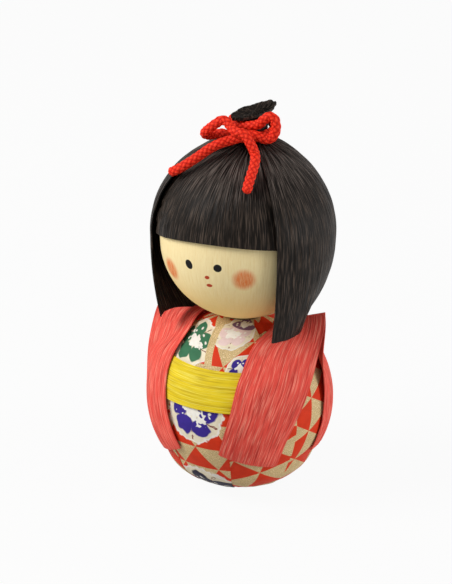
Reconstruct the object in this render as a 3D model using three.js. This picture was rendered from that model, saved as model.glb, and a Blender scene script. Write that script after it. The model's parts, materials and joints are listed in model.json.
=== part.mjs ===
// A roly-poly girl doll made of paper: a weighted papier-mache body and a papier-mache ball for a head,
// dressed in printed paper and crepe paper, with a red cord bow on the hair.
// Millimetres, +Z up. The face looks along -Y and the doll's own left is +X.
// The origin is the centre of the small flat on which the doll rests.

import * as THREE from 'three';

// Driving dimensions: fits and papers
const CLEARANCE = 0.3;
const COVER_PAPER = 0.4;
const OBI_PAPER = 0.4;
const SLEEVE_PAPER = 0.4;
const HAIR_PAPER = 0.6;

// Driving dimensions: body core, its weight and its neck peg
const BODY_CORE_RADIUS = 21.6;
const BODY_CORE_WALL = 1.6;
const NECK_FLAT_RADIUS = 4.5;
const REST_FLAT_RADIUS = 3;
const PATCH_RADIUS = 8;
const WEIGHT_HEIGHT = 11;
const SEAM_TAPE_WIDTH = 6;
const PEG_RADIUS = 2.5;
const PEG_BOSS_WALL = 2.4;
const PEG_BOSS_LENGTH = 8;
const PEG_CHAMFER = 0.5;

// Driving dimensions: head
const HEAD_CORE_RADIUS = 19.7;
const HEAD_CORE_WALL = 1.4;

// Driving dimensions: obi and the chest papers, heights above the middle of the body, angles in degrees
const OBI_TOP_RISE = 13.8;
const OBI_HEIGHT = 9.2;
const OBI_SPREAD = 56;
const CHEST_SPREAD = 52;
const LAPEL_SEAM_LOW = 3;
const LAPEL_SEAM_HIGH = -9;

// Driving dimensions: hair. Azimuths run from the front towards the doll's left, in degrees.
const FRINGE_SPREAD = 60;
const FRINGE_RISE = 4.6;
const FRINGE_TILT = 4;
const FRINGE_ARCH = 3.4;
const HAIR_LIFT = 0.8;
const LOCK_AZIMUTH = 51.5;
const LOCK_BACK_AZIMUTH = { left: 84, right: 105 };
const LOCK_HEM_RADIUS = 20.2;
const LOCK_HEM_RISE = 0;
const NAPE_AZIMUTH = { left: 110, right: 140 };
const NAPE_HEM_RADIUS = 16.7;
const NAPE_HEM_RISE = 2.6;
const TUCK_DEPTH = 5.5;
const TUCK_AZIMUTH = 95;
const TUCK_END = 160;
const HEM_REACH = 2.2;
const GATHER_BACK = 4;
const GATHER_RISE = 2.3;
const GATHER_CURVE = 1.2;
const GATHER_SPREAD = 55;
const GATHER_OPENING = 4.2;

// Driving dimensions: topknot, its binding thread and the red cord
const TOPKNOT_NECK_RADIUS = 2.8;
const TOPKNOT_NECK_LENGTH = 4.2;
const TOPKNOT_FLARE_LENGTH = 1.9;
const TOPKNOT_SHOULDER = 0.75;
const TOPKNOT_RIM = 0.7;
const TOPKNOT_DISH = 0.5;
const TOPKNOT_LONG_RADIUS = 7.2;
const TOPKNOT_SHORT_RADIUS = 3.3;
const TOPKNOT_TURN = -15;
const TOPKNOT_RIM_SLANT = 0.6;
const TOPKNOT_TOP_SLANT = 0.3;
const TOPKNOT_PLEATS = 9;
const TOPKNOT_PLEAT_DEPTH = 0.12;
const THREAD_DIAMETER = 0.5;
const THREAD_TURNS = 3;
const THREAD_PITCH = 1;
const CORD_DIAMETER = 2.5;
const KNOT_AZIMUTH = 15;
const KNOT_RISE = 2.5;
const KNOT_STRAND_STEP = 3;
const KNOT_TILT = 0.45;

// Driving dimensions: sleeves. Each edge runs from the shoulder fold to the hem as
// [polar angle from the top of the body, azimuth, lift off the body], in degrees and millimetres.
const SLEEVE_HINGE = 0.27;
const SLEEVE_WRAP_START = 0.27;
const SLEEVE_WRAP_END = 0.45;
const SLEEVES = [
  {
    side: 'left',
    sign: 1,
    frontInner: [[22, 90, 0], [36, 43, 0.3], [56, 29.5, 0], [80.5, 23.5, 0], [107, 16.5, -0.6]],
    frontOuter: [[40.1, 99, 10.1], [56, 85, 3.7], [79, 70, 0.4], [99, 60, -0.4], [119, 56.5, -0.6]],
    backInner: [[22, 90, 0], [36, 132, 0], [56, 143, -0.4], [80.5, 140, -0.6], [107, 136, -0.6]],
    backOuter: [[40.1, 99, 10.1], [56, 97, 2.8], [80, 94, -0.2], [99, 91.5, -0.6], [115, 88, -0.6]],
  },
  {
    side: 'right',
    sign: -1,
    frontInner: [[22, 90, 0], [35, 40, 0.3], [57, 31, 0], [82, 21, 0], [108, 11.5, -0.6]],
    frontOuter: [[48.7, 83, 6.7], [61, 77, 3.5], [80, 69, 0.35], [104, 60, -0.6], [119, 54, -0.6]],
    backInner: [[22, 90, 0], [36, 132, 0], [56, 143, -0.4], [80.5, 140, -0.6], [107, 136, -0.6]],
    backOuter: [[48.7, 83, 6.7], [61, 95, 2.6], [81, 97, -0.3], [100, 95, -0.6], [115, 92, -0.6]],
  },
];

// Mesh fineness
const TURN_SEGMENTS = 28;
const ARC_STEP = 15;
const LEAST_ARC = 3;
const SLEEVE_COLUMNS = 6;
const SLEEVE_FLAP_ROWS = 9;
const SLEEVE_FOLD_ROWS = 4;
const HAIR_DOME_ROWS = 7;
const HAIR_HANG_ROWS = 4;
const HAIR_COLUMN_ANGLE = 10;
const THREAD_STEPS_PER_TURN = 12;
const THREAD_SIDES = 6;
const CORD_STEPS = 80;
const CORD_SIDES = 8;
const CORD_TURN_POINTS = 8;
const CHEST_ROWS = 4;
const CHEST_COLUMNS = 6;
const OBI_ROWS = 4;
const OBI_COLUMNS = 14;
const POINTS_PER_PLEAT = 4;

// Sizes that follow from the driving dimensions
const WRAP_INNER = BODY_CORE_RADIUS + CLEARANCE;
const WRAP_OUTER = WRAP_INNER + COVER_PAPER;
const PATCH_INNER = WRAP_OUTER + CLEARANCE;
const BODY_Z = PATCH_INNER + COVER_PAPER;
const PATCH_OUTER = Math.hypot(BODY_Z, REST_FLAT_RADIUS);
const OBI_INNER = WRAP_OUTER + CLEARANCE;
const OBI_OUTER = OBI_INNER + OBI_PAPER;
const CHEST_INNER = WRAP_OUTER + CLEARANCE;
const CHEST_OUTER = CHEST_INNER + COVER_PAPER;
const SLEEVE_INNER = Math.max(OBI_OUTER, CHEST_OUTER) + CLEARANCE;
const SLEEVE_OUTER = SLEEVE_INNER + SLEEVE_PAPER;
const BODY_TOP_Z = BODY_Z + Math.sqrt(WRAP_OUTER ** 2 - NECK_FLAT_RADIUS ** 2);
const CORE_TOP_Z = BODY_TOP_Z - COVER_PAPER - CLEARANCE;
const FACE_INNER = HEAD_CORE_RADIUS + CLEARANCE;
const FACE_OUTER = FACE_INNER + COVER_PAPER;
const HEAD_Z = BODY_TOP_Z + CLEARANCE + FACE_OUTER;
const FRINGE_OUTER = FACE_OUTER + CLEARANCE + HAIR_PAPER;
const BACK_HAIR_OUTER = FRINGE_OUTER + HAIR_LIFT + HAIR_PAPER;
const PEG_BORE = PEG_RADIUS + CLEARANCE;
const PEG_BOSS_RADIUS = PEG_BORE + PEG_BOSS_WALL;
const TAPE_GROOVE = COVER_PAPER + CLEARANCE;
const BODY_CENTRE = new THREE.Vector3(0, 0, BODY_Z);
const HEAD_CENTRE = new THREE.Vector3(0, 0, HEAD_Z);

const radians = THREE.MathUtils.degToRad;
const degrees = THREE.MathUtils.radToDeg;
const { lerp, smoothstep } = THREE.MathUtils;

// Offset from a centre at a polar angle from straight up and an azimuth from the front
function polar(radius, polarAngle, azimuth) {
  const reach = radius * Math.sin(radians(polarAngle));
  const across = reach * Math.sin(radians(azimuth));
  const forward = reach * Math.cos(radians(azimuth));
  return new THREE.Vector3(across, -forward, radius * Math.cos(radians(polarAngle)));
}

// Polar angle, in degrees, at which a sphere of this radius is at this height above its centre
function angleAtRise(radius, rise) {
  return degrees(Math.acos(rise / radius));
}

// Polar angle, in degrees, at which the upper half of a sphere is this far from its axis
function angleAtReach(radius, reach) {
  return degrees(Math.asin(reach / radius));
}

// The same for the lower half
function angleNearFoot(radius, reach) {
  return 180 - angleAtReach(radius, reach);
}

// Section of a sphere about the Z axis, as [radius, height] points. Every section has its corners at the
// same polar angles, so that shells one inside the other keep their gap.
function arc(centreZ, radius, fromAngle, toAngle) {
  const sense = Math.sign(toAngle - fromAngle);
  const [low, high] = [Math.min(fromAngle, toAngle) + LEAST_ARC, Math.max(fromAngle, toAngle) - LEAST_ARC];
  const corners = Array.from({ length: 180 / ARC_STEP + 1 }, (_, i) => i * ARC_STEP)
    .filter((angle) => angle > low && angle < high)
    .sort((a, b) => sense * (a - b));
  return [fromAngle, ...corners, toAngle].map((angle) => {
    const onAxis = angle === 0 || angle === 180;
    const reach = onAxis ? 0 : radius * Math.sin(radians(angle));
    return [reach, centreZ + radius * Math.cos(radians(angle))];
  });
}

// A piece turned about the Z axis: its outline runs up the outside and down the inside
function turned(outline, segments = TURN_SEGMENTS) {
  const points = outline.map(([radius, height]) => new THREE.Vector2(radius, height));
  return new THREE.LatheGeometry(points, segments).rotateX(Math.PI / 2);
}

// A sheet with a thickness: rows of points on its outer face, seen from outside with the first row on
// top and the columns running to the right
function sheetGeometry(rows, thickness) {
  const rowCount = rows.length;
  const columnCount = rows[0].length;
  const outer = rows.flat();
  const at = (row, column) => row * columnCount + column;
  const faces = [];
  for (let row = 0; row < rowCount - 1; row += 1) {
    for (let column = 0; column < columnCount - 1; column += 1) {
      const [a, b] = [at(row, column), at(row, column + 1)];
      const [c, d] = [at(row + 1, column + 1), at(row + 1, column)];
      faces.push([a, d, c], [a, c, b]);
    }
  }
  const surface = new THREE.BufferGeometry().setFromPoints(outer);
  surface.setIndex(faces.flat());
  surface.computeVertexNormals();
  const normals = surface.getAttribute('normal');
  const inner = outer.map((point, i) => {
    const normal = new THREE.Vector3().fromBufferAttribute(normals, i);
    return point.clone().addScaledVector(normal, -thickness);
  });
  const inside = outer.length;
  const index = [...faces.flat(), ...faces.flatMap(([a, b, c]) => [a + inside, c + inside, b + inside])];
  const upRows = Array.from({ length: rowCount - 1 }, (_, row) => row);
  const alongColumns = Array.from({ length: columnCount - 1 }, (_, column) => column);
  const border = [
    ...upRows.map((row) => at(row, 0)),
    ...alongColumns.map((column) => at(rowCount - 1, column)),
    ...upRows.map((row) => at(rowCount - 1 - row, columnCount - 1)),
    ...alongColumns.map((column) => at(0, columnCount - 1 - column)),
  ];
  border.forEach((from, i) => {
    const to = border[(i + 1) % border.length];
    index.push(from, from + inside, to + inside, from, to + inside, to);
  });
  const geometry = new THREE.BufferGeometry().setFromPoints([...outer, ...inner]);
  geometry.setIndex(index);
  return geometry;
}

// A solid through closed rings of points that run anticlockwise seen from above, lowest ring first,
// closed below and above by fans to the middle of the end rings
function ringSolid(rings, topMiddle) {
  const count = rings[0].length;
  const bottomMiddle = new THREE.Vector3();
  rings[0].forEach((point) => bottomMiddle.addScaledVector(point, 1 / count));
  const points = [...rings.flat(), bottomMiddle, topMiddle];
  const bottom = points.length - 2;
  const top = points.length - 1;
  const index = [];
  rings.slice(1).forEach((_, level) => {
    for (let i = 0; i < count; i += 1) {
      const next = (i + 1) % count;
      const [a, b] = [level * count + i, level * count + next];
      index.push(a, b, b + count, a, b + count, a + count);
    }
  });
  const lastRing = (rings.length - 1) * count;
  for (let i = 0; i < count; i += 1) {
    const next = (i + 1) % count;
    index.push(bottom, next, i, top, lastRing + i, lastRing + next);
  }
  const geometry = new THREE.BufferGeometry().setFromPoints(points);
  geometry.setIndex(index);
  return geometry;
}

// A round tube along a curve
function tubeGeometry(curve, diameter, sides, steps) {
  const section = new THREE.Shape(
    Array.from({ length: sides }, (_, i) => {
      const angle = (2 * Math.PI * i) / sides;
      return new THREE.Vector2(Math.cos(angle), Math.sin(angle)).multiplyScalar(diameter / 2);
    }),
  );
  return new THREE.ExtrudeGeometry(section, { steps, extrudePath: curve });
}

// Least gap that a tube leaves to itself, measured between points along its middle line
function leastGapToItself(curve, diameter, steps) {
  const points = curve.getSpacedPoints(steps);
  const stepLength = curve.getLength() / steps;
  const apart = Math.ceil((Math.PI * diameter) / 2 / stepLength) + 1;
  let least = Infinity;
  for (let i = 0; i < points.length; i += 1) {
    for (let j = i + apart; j < points.length; j += 1) {
      least = Math.min(least, points[i].distanceTo(points[j]));
    }
  }
  return least - diameter;
}

// Looks of the papers and of the hidden core
const paint = (color, roughness, metalness = 0) =>
  new THREE.MeshStandardMaterial({ color, roughness, metalness });
const LOOKS = {
  papierMache: paint(0xb9a98a, 0.95),
  iron: paint(0x4a4a4c, 0.7, 0.7),
  wood: paint(0xc89f6a, 0.65),
  tape: paint(0xd8cfb8, 0.9),
  facePaper: paint(0xf3dfae, 0.85),
  printedPaper: paint(0xc2472c, 0.6),
  obiPaper: paint(0xe8c832, 0.85),
  sleevePaper: paint(0xdd5546, 0.85),
  hairPaper: paint(0x2b2422, 0.85),
  thread: paint(0x1c1817, 0.9),
  cord: paint(0xc9261a, 0.6),
};

const doll = new THREE.Group();
doll.name = 'roly_poly_doll';

function addPiece(name, geometry, material) {
  const mesh = new THREE.Mesh(geometry, material);
  mesh.name = name;
  doll.add(mesh);
}

// Body core: two papier-mache shells that meet at the widest level, with a taped seam
const coreInner = BODY_CORE_RADIUS - BODY_CORE_WALL;
const coreGrooveRadius = BODY_CORE_RADIUS - TAPE_GROOVE;
const grooveHalf = SEAM_TAPE_WIDTH / 2 + CLEARANCE;
const grooveRise = angleAtRise(BODY_CORE_RADIUS, grooveHalf);
const coreBossAngle = angleAtReach(coreInner, PEG_BOSS_RADIUS);
const bossFootZ = BODY_Z + coreInner * Math.cos(radians(coreBossAngle)) - PEG_BOSS_LENGTH;

addPiece(
  'body_core_lower',
  turned([
    ...arc(BODY_Z, BODY_CORE_RADIUS, 180, 180 - grooveRise),
    [coreGrooveRadius, BODY_Z - grooveHalf],
    [coreGrooveRadius, BODY_Z],
    ...arc(BODY_Z, coreInner, 90, 180),
  ]),
  LOOKS.papierMache,
);

addPiece(
  'body_core_upper',
  turned([
    [coreInner, BODY_Z],
    [coreGrooveRadius, BODY_Z],
    [coreGrooveRadius, BODY_Z + grooveHalf],
    ...arc(BODY_Z, BODY_CORE_RADIUS, grooveRise, angleAtRise(BODY_CORE_RADIUS, CORE_TOP_Z - BODY_Z)),
    [PEG_BORE, CORE_TOP_Z],
    [PEG_BORE, bossFootZ],
    [PEG_BOSS_RADIUS, bossFootZ],
    ...arc(BODY_Z, coreInner, coreBossAngle, 90),
  ]),
  LOOKS.papierMache,
);

// A strip of paper glued over the seam of a core, let into its groove
function seamTape(coreRadius, z) {
  const inner = coreRadius - COVER_PAPER;
  const half = SEAM_TAPE_WIDTH / 2;
  const rise = angleAtRise(coreRadius, half);
  const outside = arc(z, coreRadius, 180 - rise, rise);
  return turned([[inner, z - half], ...outside, [inner, z + half], [inner, z - half]]);
}

addPiece('body_seam_tape', seamTape(BODY_CORE_RADIUS, BODY_Z), LOOKS.tape);

// Weight: an iron slug that fills the foot of the body, so that the doll rights itself
const weightRadius = coreInner - CLEARANCE;
addPiece(
  'ballast_weight',
  turned([
    ...arc(BODY_Z, weightRadius, 180, angleAtRise(weightRadius, WEIGHT_HEIGHT - weightRadius)),
    [0, BODY_Z - weightRadius + WEIGHT_HEIGHT],
  ]),
  LOOKS.iron,
);

// Head core: a papier-mache ball of two halves, with a boss for the peg
const headInner = HEAD_CORE_RADIUS - HEAD_CORE_WALL;
const headGrooveRadius = HEAD_CORE_RADIUS - TAPE_GROOVE;
const headGrooveRise = angleAtRise(HEAD_CORE_RADIUS, grooveHalf);
const headBore = angleNearFoot(HEAD_CORE_RADIUS, PEG_BORE);
const headBossAngle = angleNearFoot(headInner, PEG_BOSS_RADIUS);
const headBossTopZ = HEAD_Z + headInner * Math.cos(radians(headBossAngle)) + PEG_BOSS_LENGTH;

addPiece(
  'head_core_lower',
  turned([
    ...arc(HEAD_Z, HEAD_CORE_RADIUS, headBore, 180 - headGrooveRise),
    [headGrooveRadius, HEAD_Z - grooveHalf],
    [headGrooveRadius, HEAD_Z],
    ...arc(HEAD_Z, headInner, 90, headBossAngle),
    [PEG_BOSS_RADIUS, headBossTopZ],
    [PEG_BORE, headBossTopZ],
    [PEG_BORE, HEAD_Z + HEAD_CORE_RADIUS * Math.cos(radians(headBore))],
  ]),
  LOOKS.papierMache,
);

addPiece(
  'head_core_upper',
  turned([
    ...arc(HEAD_Z, headInner, 0, 90),
    [headGrooveRadius, HEAD_Z],
    [headGrooveRadius, HEAD_Z + grooveHalf],
    ...arc(HEAD_Z, HEAD_CORE_RADIUS, headGrooveRise, 0),
  ]),
  LOOKS.papierMache,
);

addPiece('head_seam_tape', seamTape(HEAD_CORE_RADIUS, HEAD_Z), LOOKS.tape);

// Neck peg: a dowel glued into the bosses of the body and of the head
const pegTip = PEG_RADIUS - PEG_CHAMFER;
addPiece(
  'neck_peg',
  turned([
    [0, bossFootZ],
    [pegTip, bossFootZ],
    [PEG_RADIUS, bossFootZ + PEG_CHAMFER],
    [PEG_RADIUS, headBossTopZ - PEG_CHAMFER],
    [pegTip, headBossTopZ],
    [0, headBossTopZ],
  ]),
  LOOKS.wood,
);

// Coverings: crepe paper over the head, printed paper over the body and a patch under the foot
addPiece(
  'face_paper',
  turned([
    ...arc(HEAD_Z, FACE_INNER, 0, angleNearFoot(FACE_INNER, PEG_BORE)),
    ...arc(HEAD_Z, FACE_OUTER, angleNearFoot(FACE_OUTER, PEG_BORE), 0),
  ]),
  LOOKS.facePaper,
);

addPiece(
  'kimono_wrap',
  turned([
    ...arc(BODY_Z, WRAP_OUTER, 180, angleAtRise(WRAP_OUTER, BODY_TOP_Z - BODY_Z)),
    [PEG_BORE, BODY_TOP_Z],
    [PEG_BORE, BODY_TOP_Z - COVER_PAPER],
    ...arc(BODY_Z, WRAP_INNER, angleAtRise(WRAP_INNER, BODY_TOP_Z - COVER_PAPER - BODY_Z), 180),
  ]),
  LOOKS.printedPaper,
);

addPiece(
  'base_patch',
  turned([
    [0, 0],
    ...arc(BODY_Z, PATCH_OUTER, angleNearFoot(PATCH_OUTER, REST_FLAT_RADIUS),
      angleNearFoot(PATCH_OUTER, PATCH_RADIUS)),
    ...arc(BODY_Z, PATCH_INNER, angleNearFoot(PATCH_INNER, PATCH_RADIUS), 180),
  ]),
  LOOKS.printedPaper,
);

// Chest papers: two fronts over the body paper, from the neck down to the obi, that meet at a seam
const chestTop = angleAtRise(CHEST_OUTER, BODY_TOP_Z - BODY_Z);
const chestFoot = angleAtRise(CHEST_INNER, OBI_TOP_RISE + CLEARANCE);
const seamGap = degrees(CLEARANCE / CHEST_OUTER / Math.sin(radians(chestTop)));

function chestPaper(sign) {
  const rows = Array.from({ length: CHEST_ROWS + 1 }, (_, row) => {
    const share = row / CHEST_ROWS;
    const angle = lerp(chestTop, chestFoot, share);
    const seam = lerp(LAPEL_SEAM_HIGH, LAPEL_SEAM_LOW, share) + (sign * seamGap) / 2;
    const [from, to] = sign > 0 ? [seam, CHEST_SPREAD] : [-CHEST_SPREAD, seam];
    return Array.from({ length: CHEST_COLUMNS + 1 }, (_unused, column) =>
      polar(CHEST_OUTER, angle, lerp(from, to, column / CHEST_COLUMNS)).add(BODY_CENTRE));
  });
  return sheetGeometry(rows, COVER_PAPER);
}

addPiece('chest_paper_left', chestPaper(1), LOOKS.printedPaper);
addPiece('chest_paper_right', chestPaper(-1), LOOKS.printedPaper);

// Obi: a band of crepe paper over the front of the body, its ends under the sleeves
const obiTop = angleAtRise(OBI_OUTER, OBI_TOP_RISE);
const obiFoot = angleAtRise(OBI_OUTER, OBI_TOP_RISE - OBI_HEIGHT);
const obiRows = Array.from({ length: OBI_ROWS + 1 }, (_, row) =>
  Array.from({ length: OBI_COLUMNS + 1 }, (_unused, column) => {
    const azimuth = lerp(-OBI_SPREAD, OBI_SPREAD, column / OBI_COLUMNS);
    return polar(OBI_OUTER, lerp(obiTop, obiFoot, row / OBI_ROWS), azimuth).add(BODY_CENTRE);
  }),
);
addPiece('obi_band', sheetGeometry(obiRows, OBI_PAPER), LOOKS.obiPaper);

// Sleeves: a strip of crepe paper over each shoulder. The fold stays, glued to the body, and the front
// and back flaps below it lift about the lower edges of the fold.
function edgeCurve(points) {
  return new THREE.CatmullRomCurve3(points.map((point) => new THREE.Vector3(...point)));
}

// A place on a sleeve, a share of the way along it from the fold and a share of the way across it
function sleevePoint({ inner, outer, sign }, along, across) {
  const place = ({ x: angle, y: azimuth, z: lift }) => polar(SLEEVE_OUTER + lift, angle, sign * azimuth);
  const [innerEnd, outerEnd] = [place(inner.getPoint(along)), place(outer.getPoint(along))];
  const flat = innerEnd.clone().lerp(outerEnd, across);
  const radius = lerp(innerEnd.length(), outerEnd.length(), across);
  const spread = innerEnd.angleTo(outerEnd);
  const rounded = innerEnd.clone().normalize()
    .multiplyScalar(Math.sin((1 - across) * spread))
    .addScaledVector(outerEnd.clone().normalize(), Math.sin(across * spread))
    .multiplyScalar(radius / Math.sin(spread));
  return flat.lerp(rounded, smoothstep(along, SLEEVE_WRAP_START, SLEEVE_WRAP_END)).add(BODY_CENTRE);
}

function sleeveRow(flap, along, innerFirst) {
  return Array.from({ length: SLEEVE_COLUMNS + 1 }, (_, column) => {
    const share = column / SLEEVE_COLUMNS;
    return sleevePoint(flap, along, innerFirst ? share : 1 - share);
  });
}

function sleeveLength(flap) {
  const marks = Array.from({ length: SLEEVE_FLAP_ROWS + 1 }, (_, i) =>
    sleevePoint(flap, i / SLEEVE_FLAP_ROWS, 0.5));
  return marks.slice(1).reduce((length, mark, i) => length + mark.distanceTo(marks[i]), 0);
}

const sleeveSurface = [];
SLEEVES.forEach(({ side, sign, frontInner, frontOuter, backInner, backOuter }) => {
  const front = { inner: edgeCurve(frontInner), outer: edgeCurve(frontOuter), sign };
  const back = { inner: edgeCurve(backInner), outer: edgeCurve(backOuter), sign };
  Object.entries({ front, back }).forEach(([face, flap]) => {
    const name = `sleeve_${side}_${face}`;
    const top = SLEEVE_HINGE + CLEARANCE / sleeveLength(flap);
    const innerFirst = (face === 'front') === sign > 0;
    const rows = Array.from({ length: SLEEVE_FLAP_ROWS + 1 }, (_, row) =>
      sleeveRow(flap, lerp(top, 1, row / SLEEVE_FLAP_ROWS), innerFirst));
    addPiece(name, sheetGeometry(rows, SLEEVE_PAPER), LOOKS.sleevePaper);
    const [from, to] = [0, 1].map((across) => sleevePoint(flap, SLEEVE_HINGE, across));
    console.log('hinge line of', name, from.toArray(), to.toArray());
    sleeveSurface.push(...rows.flat());
  });
  const overFold = Array.from({ length: 2 * SLEEVE_FOLD_ROWS + 1 }, (_, row) => row / SLEEVE_FOLD_ROWS - 1);
  const foldRows = overFold.map((share) =>
    sleeveRow(share < 0 ? back : front, SLEEVE_HINGE * Math.abs(share), sign > 0));
  addPiece(`sleeve_${side}_shoulder`, sheetGeometry(foldRows, SLEEVE_PAPER), LOOKS.sleevePaper);
  sleeveSurface.push(...foldRows.flat());
});

// Hair: sheets that come down over the head from the gather behind its top, fuller towards the gather
function hairDomePoint(radius, polarAngle, azimuth) {
  const fullness = GATHER_RISE * (1 - (polarAngle / 90) ** GATHER_CURVE);
  const drawnBack = GATHER_BACK * Math.max(0, 1 - polarAngle / GATHER_SPREAD) ** 2;
  return polar(radius + fullness, polarAngle, azimuth)
    .add(new THREE.Vector3(0, drawnBack, 0))
    .add(HEAD_CENTRE);
}

function azimuthColumns(from, to) {
  const count = Math.ceil(Math.abs(to - from) / HAIR_COLUMN_ANGLE);
  return Array.from({ length: count + 1 }, (_, i) => lerp(from, to, i / count));
}

function fringeEdgeAngle(azimuth) {
  const across = FRINGE_OUTER * Math.sin(radians(azimuth));
  const drop = FRINGE_ARCH * (across / FRINGE_OUTER) ** 2;
  return angleAtRise(FRINGE_OUTER, FRINGE_RISE + across * Math.tan(radians(FRINGE_TILT)) - drop);
}

const fringeRows = Array.from({ length: HAIR_DOME_ROWS + 1 }, (_, row) =>
  azimuthColumns(-FRINGE_SPREAD, FRINGE_SPREAD).map((azimuth) => {
    const angle = lerp(GATHER_OPENING, fringeEdgeAngle(azimuth), row / HAIR_DOME_ROWS);
    return hairDomePoint(FRINGE_OUTER, angle, azimuth);
  }),
);
addPiece('fringe', sheetGeometry(fringeRows, HAIR_PAPER), LOOKS.hairPaper);

// The back sheet hangs over the ears as two locks and down to the nape. The right lock is tucked in under
// the cheek. Where a shoulder is below the sheet, its hem is cut to clear the sleeve.
function hemPoint(azimuth) {
  const side = azimuth > 180 ? 'right' : 'left';
  const fromFront = Math.min(azimuth, 360 - azimuth);
  const nape = smoothstep(fromFront, LOCK_AZIMUTH, NAPE_AZIMUTH.left);
  const tuckedIn = smoothstep(fromFront, LOCK_AZIMUTH, TUCK_AZIMUTH)
    - smoothstep(fromFront, NAPE_AZIMUTH.left, TUCK_END);
  const tuck = side === 'right' ? TUCK_DEPTH * tuckedIn : 0;
  const point = polar(lerp(LOCK_HEM_RADIUS, NAPE_HEM_RADIUS, nape) - tuck, 90, azimuth);
  const upAtNape = smoothstep(fromFront, LOCK_BACK_AZIMUTH[side], NAPE_AZIMUTH[side]);
  const rise = lerp(LOCK_HEM_RISE, NAPE_HEM_RISE, upAtNape);
  const below = sleeveSurface
    .filter(({ x, y }) => Math.hypot(x - point.x, y - point.y) < HEM_REACH)
    .map(({ z }) => z + 2 * CLEARANCE);
  point.z = Math.max(BODY_TOP_Z + rise, ...below);
  return point;
}

const backHairColumns = azimuthColumns(LOCK_AZIMUTH, 360 - LOCK_AZIMUTH);
const hairDomeRows = Array.from({ length: HAIR_DOME_ROWS + 1 }, (_, row) => {
  const angle = lerp(GATHER_OPENING, 90, row / HAIR_DOME_ROWS);
  return backHairColumns.map((azimuth) => hairDomePoint(BACK_HAIR_OUTER, angle, azimuth));
});
const hairHangRows = Array.from({ length: HAIR_HANG_ROWS }, (_, row) => {
  const share = (row + 1) / HAIR_HANG_ROWS;
  return backHairColumns.map((azimuth) => {
    const hem = hemPoint(azimuth);
    const reach = Math.hypot(hem.x, hem.y);
    const point = polar(lerp(BACK_HAIR_OUTER, reach, share ** 2), 90, azimuth);
    return point.setZ(lerp(HEAD_Z, hem.z, share));
  });
});
const backHairRows = [...hairDomeRows, ...hairHangRows];
addPiece('back_hair', sheetGeometry(backHairRows, HAIR_PAPER), LOOKS.hairPaper);

// Topknot: the gathered ends of the hair sheets, pleated, bound at the neck and cut off above it
const topknotFootZ = hairDomePoint(BACK_HAIR_OUTER, GATHER_OPENING, 180).z + CLEARANCE;
const topknotFlareZ = topknotFootZ + TOPKNOT_NECK_LENGTH;
const topknotTopZ = topknotFlareZ + TOPKNOT_FLARE_LENGTH;

function topknotRing(longRadius, shortRadius, z, slant) {
  const count = TOPKNOT_PLEATS * POINTS_PER_PLEAT;
  return Array.from({ length: count }, (_, i) => {
    const around = (2 * Math.PI * i) / count;
    const pleat = 1 - TOPKNOT_PLEAT_DEPTH * (0.5 - 0.5 * Math.cos(TOPKNOT_PLEATS * around));
    const along = longRadius * pleat * Math.cos(around);
    const across = shortRadius * pleat * Math.sin(around);
    const point = new THREE.Vector3(across, -along, z - (slant * along) / longRadius);
    return point.applyAxisAngle(new THREE.Vector3(0, 0, 1), radians(TOPKNOT_TURN))
      .add(new THREE.Vector3(0, GATHER_BACK, 0));
  });
}

const neck = [TOPKNOT_NECK_RADIUS, TOPKNOT_NECK_RADIUS];
const midFlare = [TOPKNOT_LONG_RADIUS, TOPKNOT_SHORT_RADIUS]
  .map((radius) => lerp(TOPKNOT_NECK_RADIUS, radius, 0.5));
const topknotRings = [
  topknotRing(...neck, topknotFootZ, 0),
  topknotRing(...neck, topknotFlareZ, 0),
  topknotRing(...midFlare, topknotFlareZ + TOPKNOT_SHOULDER, 0),
  topknotRing(TOPKNOT_LONG_RADIUS, TOPKNOT_SHORT_RADIUS, topknotTopZ - TOPKNOT_RIM, TOPKNOT_RIM_SLANT),
  topknotRing(TOPKNOT_LONG_RADIUS, TOPKNOT_SHORT_RADIUS, topknotTopZ, TOPKNOT_TOP_SLANT),
];
addPiece(
  'topknot',
  ringSolid(topknotRings, new THREE.Vector3(0, GATHER_BACK, topknotTopZ - TOPKNOT_DISH)),
  LOOKS.hairPaper,
);

// Binding thread: one winding round the neck of the topknot, under the cord
const threadRadius = TOPKNOT_NECK_RADIUS + CLEARANCE + THREAD_DIAMETER / 2;
const threadFootZ = topknotFootZ + THREAD_DIAMETER;

class Winding extends THREE.Curve {
  getPoint(share, target = new THREE.Vector3()) {
    const angle = 2 * Math.PI * THREAD_TURNS * share;
    const z = threadFootZ + THREAD_TURNS * THREAD_PITCH * share;
    return target.set(threadRadius * Math.sin(angle), GATHER_BACK + threadRadius * Math.cos(angle), z);
  }
}

const threadSteps = THREAD_TURNS * THREAD_STEPS_PER_TURN;
const winding = new Winding();
addPiece('binding_thread', tubeGeometry(winding, THREAD_DIAMETER, THREAD_SIDES, threadSteps), LOOKS.thread);
console.log('binding_thread least gap to itself', leastGapToItself(winding, THREAD_DIAMETER, threadSteps));

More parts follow.
